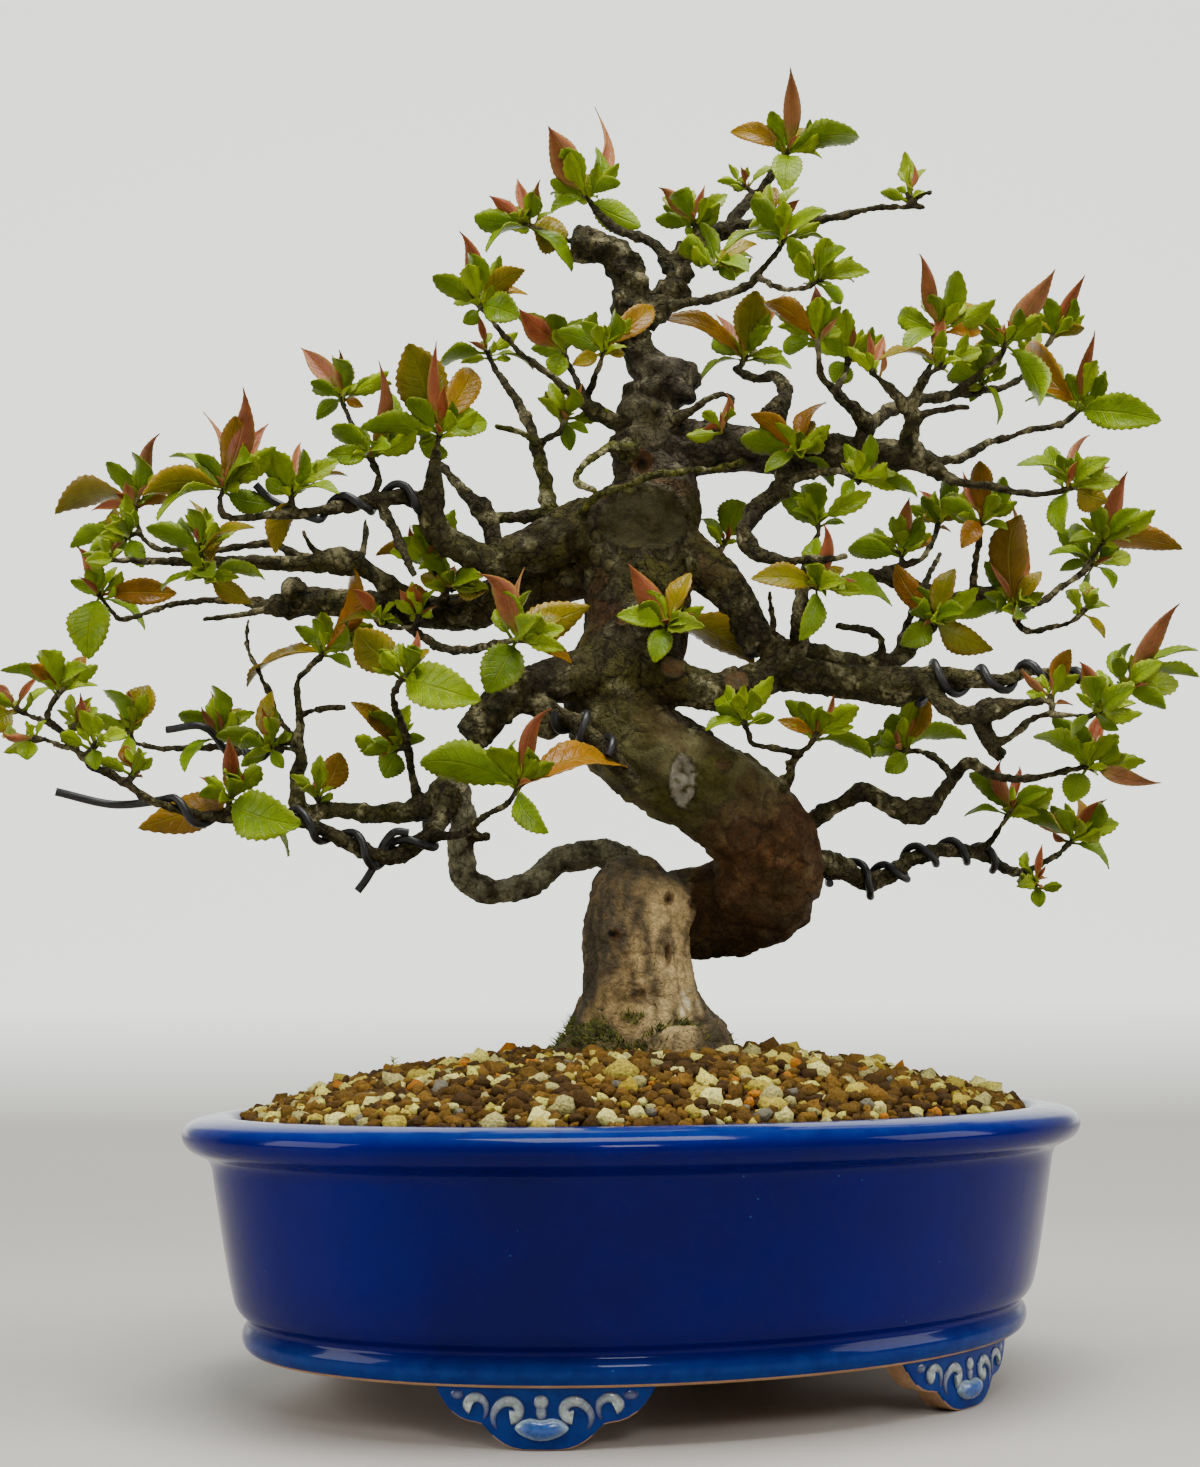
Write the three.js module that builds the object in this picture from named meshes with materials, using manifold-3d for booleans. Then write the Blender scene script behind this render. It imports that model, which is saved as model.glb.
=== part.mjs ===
// Chinese quince bonsai in a glazed oval pot.
// Millimetres. +X runs along the front, +Y away from the viewer, +Z up.
import * as THREE from 'three';
import { mergeVertices } from 'three/addons/utils/BufferGeometryUtils.js';
import Module from 'manifold-3d';

const wasm = await Module();
wasm.setup();

// Driving dimensions of the pot
const POT_HALF_LENGTH = 141;
const POT_HALF_DEPTH = 109;
const POT_TURN = THREE.MathUtils.degToRad(24);
const UNDERSIDE = 18.5;
const RIM_TOP = 98.5;
const FLOOR_TOP = 26;
const FOOT_ANGLE = THREE.MathUtils.degToRad(56.5);
const FOOT_THICKNESS = 10;

// Soil, gaps, wire and leaf sizes
const SOIL_EDGE = 96.5;
const SOIL_RISE = 22.5;
const GAP = 0.35;
const WIRE_RADIUS = 1.5;
const BLADE_THICKNESS = 1;

// Where the picture was taken from: points read from it are (u, v) on the upright plane through
// the middle of the pot, and each gets a depth behind that plane along its own line of sight
const EYE = new THREE.Vector3(-14.5, -780, 135);
const EYE_DISTANCE = 780;
const DEPTH_SPREAD = 1.6;

function sight(u, v, depth) {
  const reach = (EYE_DISTANCE + depth) / EYE_DISTANCE;
  return new THREE.Vector3(u, 0, v).sub(EYE).multiplyScalar(reach).add(EYE);
}

// A repeatable draw between 0 and 1
function draw(seed) {
  const wave = Math.sin(seed * 12.9898 + 4.1414) * 43758.5453;
  return wave - Math.floor(wave);
}

function toSolid(geometry) {
  const bare = geometry.clone();
  bare.deleteAttribute('normal');
  bare.deleteAttribute('uv');
  const merged = mergeVertices(bare, 1e-4);
  const corners = merged.index.array;
  const kept = [];
  for (let i = 0; i < corners.length; i += 3) {
    const [a, b, c] = [corners[i], corners[i + 1], corners[i + 2]];
    if (a !== b && b !== c && c !== a) {
      kept.push(a, b, c);
    }
  }
  return new wasm.Manifold(new wasm.Mesh({
    numProp: 3,
    vertProperties: new Float32Array(merged.attributes.position.array),
    triVerts: new Uint32Array(kept),
  }));
}

function toGeometry(solid) {
  const mesh = solid.getMesh();
  const geometry = new THREE.BufferGeometry();
  geometry.setAttribute('position', new THREE.BufferAttribute(mesh.vertProperties, 3));
  geometry.setIndex(new THREE.BufferAttribute(mesh.triVerts, 1));
  geometry.computeVertexNormals();
  return geometry;
}

function joined(solids) {
  return solids.reduce((whole, solid) => whole.add(solid));
}

function largest(solid) {
  const pieces = solid.decompose();
  return pieces.reduce((best, piece) => (piece.volume() > best.volume() ? piece : best));
}

function boxOf(solid) {
  const bounds = solid.boundingBox();
  return new THREE.Box3(new THREE.Vector3(...bounds.min), new THREE.Vector3(...bounds.max));
}

// A closed tube of changing radius along a smooth curve
function tube(points, radii, sides, steps, grow = 0) {
  const curve = new THREE.CatmullRomCurve3(points, false, 'centripetal');
  const frames = curve.computeFrenetFrames(steps, false);
  const geometry = new THREE.CylinderGeometry(1, 1, 1, sides, steps);
  const position = geometry.attributes.position;
  for (let i = 0; i < position.count; i += 1) {
    const step = Math.round((position.getY(i) + 0.5) * steps);
    const place = curve.getUtoTmapping(step / steps) * (points.length - 1);
    const before = Math.min(Math.floor(place), points.length - 2);
    const radius = THREE.MathUtils.lerp(radii[before], radii[before + 1], place - before) + grow;
    const end = step === 0 ? -grow : step === steps ? grow : 0;
    const centre = curve.getPointAt(step / steps).addScaledVector(frames.tangents[step], end);
    centre.addScaledVector(frames.normals[step], position.getX(i) * radius);
    centre.addScaledVector(frames.binormals[step], -position.getZ(i) * radius);
    position.setXYZ(i, centre.x, centre.y, centre.z);
  }
  return toSolid(geometry);
}

function knob(centre, radius, detail = 1) {
  const geometry = new THREE.IcosahedronGeometry(radius, detail);
  const soft = mergeVertices(geometry.deleteAttribute('normal').deleteAttribute('uv'), 1e-4);
  soft.translate(centre.x, centre.y, centre.z);
  return toSolid(soft);
}

// The pot's plan: an oval, with each profile point at its own offset from the oval
function ovalPlan(geometry, reference) {
  const position = geometry.attributes.position;
  for (let i = 0; i < position.count; i += 1) {
    const [x, z] = [position.getX(i), position.getZ(i)];
    const radius = Math.hypot(x, z);
    const angle = Math.atan2(z, x);
    const nearAxis = radius < reference * 0.7;
    const length = nearAxis ? radius * POT_HALF_LENGTH / reference : POT_HALF_LENGTH + radius - reference;
    const depth = nearAxis ? radius * POT_HALF_DEPTH / reference : POT_HALF_DEPTH + radius - reference;
    position.setXYZ(i, length * Math.cos(angle), -depth * Math.sin(angle), position.getY(i));
  }
  return geometry;
}

const PROFILE_RADIUS = 100;
const OVAL_SIDES = 28;

function ovalSolid(profile) {
  const points = profile.map(([offset, height]) => {
    return new THREE.Vector2(offset === null ? 0 : PROFILE_RADIUS + offset, height);
  });
  const solid = toSolid(ovalPlan(new THREE.LatheGeometry(points, OVAL_SIDES), PROFILE_RADIUS));
  return solid;
}

function potBody() {
  const profile = [
    [null, UNDERSIDE],
    [-1, UNDERSIDE],
    [4.2, 22],
    [4.2, 25.5],
    [2.6, 28],
    [5.5, 31],
    [8, 37],
    [15.5, 78],
    [16.5, 83],
    [23, 86.5],
    [26, 92],
    [24, 96],
    [8.5, RIM_TOP],
    [8, 92],
    [7, 82],
    [2, 50],
    [-2, 34],
    [-12, 27],
    [null, FLOOR_TOP],
  ];
  return ovalSolid(profile);
}

// One cloud-shaped foot, drawn as half its outline and mirrored, then bent to the oval
const FOOT_OUTLINE = [
  [36, 20.5],
  [33, 16.2],
  [29.2, 11.5],
  [23.6, 8.4],
  [18.6, 8.2],
  [14.8, 5.2],
  [10.8, 1.5],
  [8, 0],
];

function potFoot(centreAngle) {
  const right = FOOT_OUTLINE.map(([side, height]) => new THREE.Vector2(side, height));
  const left = FOOT_OUTLINE.map(([side, height]) => new THREE.Vector2(-side, height)).reverse();
  const top = [-24, -12, 0, 12, 24].map((side) => new THREE.Vector2(side, 20.5));
  const shape = new THREE.Shape([...right, ...left, ...top]);
  const geometry = new THREE.ExtrudeGeometry(shape, { depth: FOOT_THICKNESS, bevelEnabled: false });
  const position = geometry.attributes.position;
  for (let i = 0; i < position.count; i += 1) {
    const [side, height, outward] = [position.getX(i), position.getY(i), position.getZ(i)];
    const speed = Math.hypot(
      POT_HALF_LENGTH * Math.sin(centreAngle),
      POT_HALF_DEPTH * Math.cos(centreAngle),
    );
    const angle = centreAngle + side / speed;
    const outer = new THREE.Vector3(
      POT_HALF_LENGTH * Math.cos(angle),
      POT_HALF_DEPTH * Math.sin(angle),
      height,
    );
    const normal = new THREE.Vector3(
      Math.cos(angle) / POT_HALF_LENGTH,
      Math.sin(angle) / POT_HALF_DEPTH,
      0,
    ).normalize();
    outer.addScaledVector(normal, outward - FOOT_THICKNESS + 0.5);
    position.setXYZ(i, outer.x, outer.y, outer.z);
  }
  return toSolid(geometry);
}

function makePot() {
  const angles = [FOOT_ANGLE, Math.PI - FOOT_ANGLE, Math.PI + FOOT_ANGLE, -FOOT_ANGLE];
  const feet = angles.map(potFoot);
  return joined([potBody(), ...feet]).rotate([0, 0, THREE.MathUtils.radToDeg(POT_TURN)]);
}

// Soil: a mound that fills the pot, with its coarse grains as relief on top
const SOIL_RINGS = 10;
const SOIL_RADIUS = 107.6;
const GRAIN_RELIEF = 5;

function soilHeight(share) {
  return SOIL_EDGE + SOIL_RISE * (1 - Math.pow(share, 2.2));
}

function makeSoil(trunkHole) {
  const profile = [
    [null, FLOOR_TOP + 0.5],
    [-12.5, 27.6],
    [-2.5, 34.4],
    [1.5, 50],
    [6.5, 82],
    [7.4, 91.6],
    [7.6, SOIL_EDGE],
  ];
  const points = profile.map(([offset, height]) => {
    return new THREE.Vector2(offset === null ? 0 : PROFILE_RADIUS + offset, height);
  });
  for (let ring = 1; ring <= SOIL_RINGS; ring += 1) {
    const share = 1 - ring / SOIL_RINGS;
    points.push(new THREE.Vector2(SOIL_RADIUS * share, soilHeight(share)));
  }
  const geometry = ovalPlan(new THREE.LatheGeometry(points, OVAL_SIDES), PROFILE_RADIUS);
  const rough = mergeVertices(geometry.deleteAttribute('normal').deleteAttribute('uv'), 1e-4);
  const position = rough.attributes.position;
  for (let i = 0; i < position.count; i += 1) {
    if (position.getZ(i) > SOIL_EDGE + 0.5) {
      position.setZ(i, position.getZ(i) + GRAIN_RELIEF * (draw(i + 3) - 0.5));
      position.setX(i, position.getX(i) + 4 * (draw(i + 500) - 0.5));
      position.setY(i, position.getY(i) + 4 * (draw(i + 900) - 0.5));
    }
  }
  const mound = toSolid(rough).rotate([0, 0, THREE.MathUtils.radToDeg(POT_TURN)]);
  return largest(mound.subtract(trunkHole));
}

// Trunk and limbs: each point is (u, v) with, where it changes, its radius and its depth
const LIMBS = [
  limb('base', [1.5, 102, 36, 0], [1.5, 113, 35.5, 0], [1, 121, 33, 0], [0, 127, 29, 0],
    [-0.5, 133, 25, -1], [-1, 140, 22.2, -2], [-1.5, 150, 20.8, -3], [-1.8, 164, 20.3, -3],
    [-1, 174, 19, -2], [0.5, 180, 15.8, 0], [3, 184, 10, 0], [5, 186.5, 4, 2]),
  limb('second', [0, 166, 16, 10], [12, 168, 17.5, 14], [27, 170, 18.5, 16], [39, 173, 20, 12],
    [47, 181, 20.5, 6]),
  limb('trunk', [49, 183, 19.5, 4], [47, 196, 19.5, -3], [36, 208, 19.5, -9], [19, 219, 19.5, -13],
    [2, 230, 19, -13], [-9, 243, 19, -10], [-8, 256, 20, -8], [-1, 270, 20, -6], [0, 285, 20.5, -4],
    [0, 300, 21.7, -2], [3, 314, 21.7, 0], [7, 327, 19, 1], [7, 338, 14.5, 1], [5, 351, 11.4, 0],
    [5.5, 361, 12.4, 0], [8.5, 370, 10.8, 0], [5, 378, 8.2, 0], [1.5, 384, 6.6, 0], [-1.5, 391, 7, 0],
    [-2, 401, 7.3, 0], [-1, 411, 7, 0], [-5, 420, 7, 0], [-14, 426, 6.5, 0], [-24, 428, 6, -1]),
  limb('top', [3, 396, 6, 0], [13, 406, 6, 1], [17, 413, 5, 2], [20, 422, 5, 4], [30, 430, 4.5, 7],
    [37, 433, 3.8, 8]),
  limb('top_side', [6, 400, 3, 0], [20, 403, 2.3], [34, 406, 2], [46, 410.5, 1.9, -10]),
  limb('top_left', [14, 416, 3, 2], [9, 426, 2.5], [1, 430.5, 2.3], [-7, 433, 2.1], [-15, 441, 2, 9]),
  limb('left_high', [1, 353, 5, 0], [-9, 357, 4], [-16, 361, 3.5, -4], [-22, 365.5, 2.4],
    [-29, 372, 1.9], [-37, 378.5, 1.7], [-43.5, 383.5, 1.5], [-52, 393, 1.3, -16]),
  limb('mossy_up', [-30, 313, 4, -2], [-34, 328, 3.4], [-37, 343.5, 3, 4]),
  limb('loop', [2, 344, 2.5, -5], [-9, 346.5, 2], [-18, 341, 1.9, -18], [-23, 334, 1.8], [-15, 329, 1.5, -22]),
  limb('crossing', [-24, 312, 2.5, -5], [-18, 325, 2, -12], [-5, 331, 1.8, -15], [10, 336, 1.7, -15],
    [25, 337, 1.6, -13], [42, 340, 1.5, -8]),
  limb('left_mid', [-5, 314, 13, -2], [-20, 313.5, 12], [-32, 309.5, 10.5], [-45, 305, 8.8, -7],
    [-56, 302.5, 6.3], [-66, 307, 5.6, -10], [-75, 313, 5.5], [-78, 321, 5.3], [-77, 329, 4.6, -14],
    [-77, 338, 2.8], [-76, 346, 2, -18]),
  limb('left_wired', [-78, 326, 4, -13], [-88, 327.5, 3.4], [-99, 326.5, 3.2, -18], [-112, 324, 2.8],
    [-124, 322, 2.3, -23]),
  limb('hanging', [-97, 325, 2.3, -17], [-92, 315, 2.2], [-88, 305, 2, -22], [-84, 297, 1.6, -24]),
  limb('to_l7', [-100, 326, 2, -18], [-98, 335, 1.7], [-99.5, 340, 1.5, -12]),
  limb('knobbed', [-52, 306, 4, -4], [-58, 321, 4.3, -2], [-66, 330, 2.8], [-75, 341, 1.6, 6]),
  limb('left_low', [-8, 303, 13, 0], [-22, 299, 11.5, 2], [-38, 292.5, 10], [-50, 289, 9, 6],
    [-61, 284, 7.8], [-78, 283, 6.4, 10], [-100, 286, 5.7], [-124, 287.5, 5.9, 18]),
  limb('left_low_end', [-122, 287.5, 5, 17], [-137, 285.5, 4.6, 20], [-147, 287.5, 2.4], [-160, 288.5, 1.8],
    [-178, 286, 1.5], [-190, 282, 1.4, 28]),
  limb('left_low_thin', [-137, 285, 1.7, 19], [-151, 282.5, 1.4], [-164, 281, 1.3, 14]),
  limb('left_up', [-78, 283, 5, 8], [-90, 290, 4.6], [-103, 299.5, 4.3, 2], [-113, 303, 5.2, 0],
    [-126, 302, 3.4], [-146, 303, 3, -6]),
  limb('left_up_thin', [-115, 303, 2.2, 1], [-131, 306.5, 2], [-139, 310, 1.9], [-154, 308.5, 1.7, 6]),
  limb('spur_a', [-105, 301, 1.9, 2], [-103, 311, 1.6], [-103, 319, 1.2, 8]),
  limb('stub', [-18, 259, 11, -12], [-34, 256, 8.5, -16], [-46, 251.5, 7.5], [-55, 245, 7.3],
    [-63, 235, 6.8, -22]),
  limb('front_limb', [-46, 249, 4, -19], [-33, 245, 4, -21], [-20, 237, 4, -23], [-11, 228, 3.9, -23],
    [-2, 217, 3, -19]),
  limb('to_c7', [-93, 284, 2.6, 12], [-83, 275, 2.2], [-74, 269.5, 2.1], [-62, 268.5, 2], [-54, 271, 1.7, -28]),
  limb('low_left', [4, 182, 6, 10], [-10, 190.5, 5.6, 14], [-21, 191, 5.5, 12], [-31, 188, 5.4],
    [-38, 182.5, 5.2, 9], [-45, 178.5, 5], [-55, 178, 5, 5], [-64, 181, 5.1], [-67, 190, 5.2],
    [-65.5, 203, 5.2, 1], [-70, 212, 5.6, 0]),
  limb('low_a', [-73, 212, 5.5, 0], [-84, 208, 4.6], [-98, 206.5, 4.2], [-112, 208.5, 3.8],
    [-125, 208, 3.8, 10], [-128, 217, 3.5], [-127, 228, 2.8], [-127, 240, 2.1], [-128, 250, 1.7],
    [-128, 258, 1.4, 14]),
  limb('low_b', [-72, 210, 4.5, -2], [-77, 200, 4.2, -8], [-85, 194, 3.9], [-93, 190.5, 3.6, -12],
    [-103, 193.5, 3.4], [-114, 198.5, 2.9, -16], [-126, 204, 2.5, -18], [-150, 205.5, 2.2],
    [-170, 208, 2], [-186, 214, 1.8, -26]),
  limb('dead_up', [-129, 234, 1.8, 12], [-136, 245, 1.6], [-141, 258, 1.4], [-147, 270, 1.2],
    [-147, 281, 1, 26]),
  limb('to_right', [-128, 244, 1.8, 13], [-119, 246.5, 1.6], [-110, 247, 1.4, 6]),
  limb('to_b6', [-128, 233, 2.2, 12], [-137, 234, 1.9], [-145, 230, 1.8], [-154, 233, 1.7, 22]),
  limb('to_d2', [-82, 209, 2.5, 1], [-85, 222, 2, -2], [-87, 235, 1.8, -8], [-91, 246, 1.6, -16]),
  limb('to_d1', [-78, 198.5, 2.4, -8], [-67, 199, 1.7, -16], [-57, 206, 1.5], [-49, 210, 1.4, -36]),
  limb('right_high', [8, 344, 12, 1], [24, 345.5, 10.5], [38, 345, 9, -4], [60, 343, 8], [76, 343, 7.5, -8],
    [91, 342, 6.8], [104, 342, 5.6, -13], [111, 339, 4, -14], [117, 334, 2.9, -15]),
  limb('up_a', [50, 347, 4, -3], [53.5, 359, 5, 0], [57.5, 367, 3.4, 4], [54, 373.5, 2.6, 9],
    [46, 373, 2.2], [38, 377, 1.8, 20]),
  limb('up_b', [86, 346, 4.2, -11], [88, 355, 4, -15], [83, 361.5, 3, -19]),
  limb('up_c', [88, 352, 3.3, -13], [95, 359, 2.9, -6], [109, 364, 2.6], [123, 366, 2.4, 12]),
  limb('up_d', [104, 344, 4.5, -14], [105, 353, 4, -20]),
  limb('up_e', [104, 350, 2.2, -18], [109, 357.5, 1.8], [119, 360.5, 1.5], [128, 361, 1.2, -26]),
  limb('to_e1', [106, 346, 3, -12], [112, 342, 2.4], [122, 340.5, 2.2], [133, 346, 2], [148, 351, 1.7],
    [163, 354, 1.5, 8]),
  limb('under', [57, 338, 4.6, -8], [56, 331, 4.4, -13], [50, 325, 4.2], [43, 319.5, 4, -16],
    [41, 312, 3.8], [45, 305, 3.4, -20], [55, 302, 2.4], [68, 302, 1.8], [80, 303.5, 1.6, -28]),
  limb('to_e22', [57, 333, 2.5, -12], [68, 335.5, 2], [78, 336.5, 1.7, -24]),
  limb('right_mid', [18, 304, 11, -3], [27, 298, 9.3, -5], [35, 290, 8, -7], [41, 279, 7.3],
    [47, 268, 7, -10]),
  limb('right_collar', [6, 257, 10, -10], [22, 253, 7.6, -14], [35, 251, 7], [45, 256, 7, -12],
    [54, 259, 7, -11], [66, 257, 6.6], [80, 255, 6.5, -14], [96, 253.3, 7.4], [110, 255.5, 5.2, -22],
    [122, 256, 3.8], [135, 255, 2.5, -28], [149, 258.5, 1.9], [164, 255.5, 1.7, -32], [178, 251.5, 1.5, -34]),
  limb('right_upper', [47, 270, 5.5, -9], [56, 268.5, 4.4], [70, 265, 4.2, -4], [84, 262, 4.1, 1],
    [98, 264, 4, 5], [106, 273, 4], [114, 282, 3.8, 10], [126, 288, 3.4], [143, 287.5, 2.8, 10]),
  limb('to_e20', [60, 266, 4, -8], [61, 275, 4, -14], [62, 285, 3.5, -22]),
  limb('bent_twig', [91, 261, 2.3, 3], [91.5, 272, 2, 0], [83, 275.5, 1.8], [75, 276.5, 1.4, -8]),
  limb('back_twig', [96, 262, 2.2, 4], [103, 280, 1.8], [110, 295, 1.6], [115, 304, 1.2, 30]),
  limb('back_limb', [119, 285, 3.4, 10], [105, 291.5, 3.2, 6], [94, 294.5, 2.8], [88, 297, 2.3, 0]),
  limb('to_e15', [127, 288, 2, 10], [128, 300, 1.8, 4], [130, 309, 1.5, -2]),
  limb('under_right', [108, 254, 4, -22], [115, 246, 3.6, -27], [123, 242, 3.6], [131.5, 243.7, 4.4, -34],
    [145, 246.5, 2.2], [152, 247.5, 1.8, -40]),
  limb('under_stub', [128, 242, 3.2, -31], [130, 233.5, 3.1], [136, 226, 2.8, -26]),
  limb('to_g1', [46, 208, 4, -6], [56, 219, 2.6, -14], [56, 225, 2.1, -18]),
  limb('to_g2', [58, 200, 5, 0], [69, 205.5, 3.6, -4], [78, 211.5, 3.6], [85, 213.5, 3.8, -8],
    [92, 209, 3.8], [102.5, 205.8, 5.1, -10], [110, 209.5, 3.6], [117, 218.5, 2.9, -14], [124, 224.5, 2.8],
    [131, 219.5, 2.1], [141, 218, 1.8], [152, 219, 1.6], [160, 221, 1.4, -26]),
  limb('to_g3', [62, 188, 6, 8], [75, 185, 4.7, 10], [83, 180.5, 4.3], [91, 181, 4], [103, 189.5, 3.6, 16],
    [120, 191, 3.1, 20], [129, 189, 2.5], [136, 183.5, 2.1, 26]),
];

const KNOTS = [
  ['low_knot', -71, 213, 0, 8.8],
  ['trunk_bulge', 49, 184, 4, 20],
  ['left_cut', -130, 292, 16, 5.6],
];

function limb(name, ...points) {
  return { name, points };
}

// Fill in the radii and depths that a list of points leaves out
function filled(points) {
  const whole = points.map((point) => [...point]);
  for (const column of [2, 3]) {
    const known = whole.map((point, i) => (point[column] === undefined ? -1 : i)).filter((i) => i >= 0);
    for (let k = 0; k < known.length - 1; k += 1) {
      const [from, to] = [known[k], known[k + 1]];
      for (let i = from + 1; i < to; i += 1) {
        const share = (i - from) / (to - from);
        whole[i][column] = THREE.MathUtils.lerp(whole[from][column], whole[to][column], share);
      }
    }
  }
  return whole;
}

function sidesFor(radius) {
  return radius > 12 ? 10 : radius > 6 ? 6 : radius > 3.4 ? 5 : radius > 2.1 ? 4 : 3;
}

// A limb as a solid, the same grown by the gap, and the points along it that shoots can stand on
function grownLimb(points, pitch, spread = DEPTH_SPREAD) {
  const whole = filled(points);
  const centres = whole.map(([u, v, , depth]) => sight(u, v, depth * spread));
  const radii = whole.map((point) => point[2]);
  const sides = sidesFor(Math.max(...radii));
  const curve = new THREE.CatmullRomCurve3(centres, false, 'centripetal');
  const steps = Math.max(2, Math.round(curve.getLength() / pitch(Math.max(...radii))));
  const seats = [];
  const count = Math.ceil(curve.getLength() / 1.5);
  const frames = curve.computeFrenetFrames(count, false);
  for (let i = 0; i <= count; i += 1) {
    const place = curve.getUtoTmapping(i / count) * (radii.length - 1);
    const before = Math.min(Math.floor(place), radii.length - 2);
    const radius = THREE.MathUtils.lerp(radii[before], radii[before + 1], place - before);
    seats.push({
      point: curve.getPointAt(i / count),
      radius: i === count ? 0 : radius,
      normal: frames.normals[i],
      binormal: frames.binormals[i],
    });
  }
  return {
    solid: tube(centres, radii, sides, steps),
    grown: tube(centres, radii, sides, steps, GAP),
    seats,
  };
}

function woodPitch(radius) {
  return radius > 12 ? 17 : radius > 6 ? 14 : radius > 3.4 ? 12 : 14;
}

const wood = new Map();
for (const { name, points } of LIMBS) {
  const isTrunk = points[0][2] > 15;
  wood.set(name, grownLimb(points, woodPitch, isTrunk ? 1 : DEPTH_SPREAD));
}
for (const [name, u, v, depth, radius] of KNOTS) {
  const centre = sight(u, v, depth * (radius > 10 ? 1 : DEPTH_SPREAD));
  const detail = radius > 10 ? 1 : 0;
  const [solid, grown] = [knob(centre, radius, detail), knob(centre, radius + GAP, detail)];
  wood.set(name, { solid, grown, seats: [] });
}

function makeWood() {
  return largest(joined([...wood.values()].map((part) => part.solid)));
}

function trunkHole() {
  const grown = wood.get('base').grown;
  return grown.add(grown.translate([0, 0, 4]));
}

// Leaves: each is named by its colour and gives the (u, v) of its tip and the width seen
const red = (u, v, width = 4) => ({ kind: 'red', u, v, width });
const bronze = (u, v, width = 5) => ({ kind: 'bronze', u, v, width });
const olive = (u, v, width = 5) => ({ kind: 'olive', u, v, width });
const green = (u, v, width = 5) => ({ kind: 'green', u, v, width });

// A rosette stands on the named limb or stem, nearest to (u, v), with its depth moved by lift
function rosette(seat, u, v, lift, ...leaves) {
  return { seat, u, v, lift, leaves };
}

function stem(name, ...points) {
  return { name, points };
}

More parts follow.
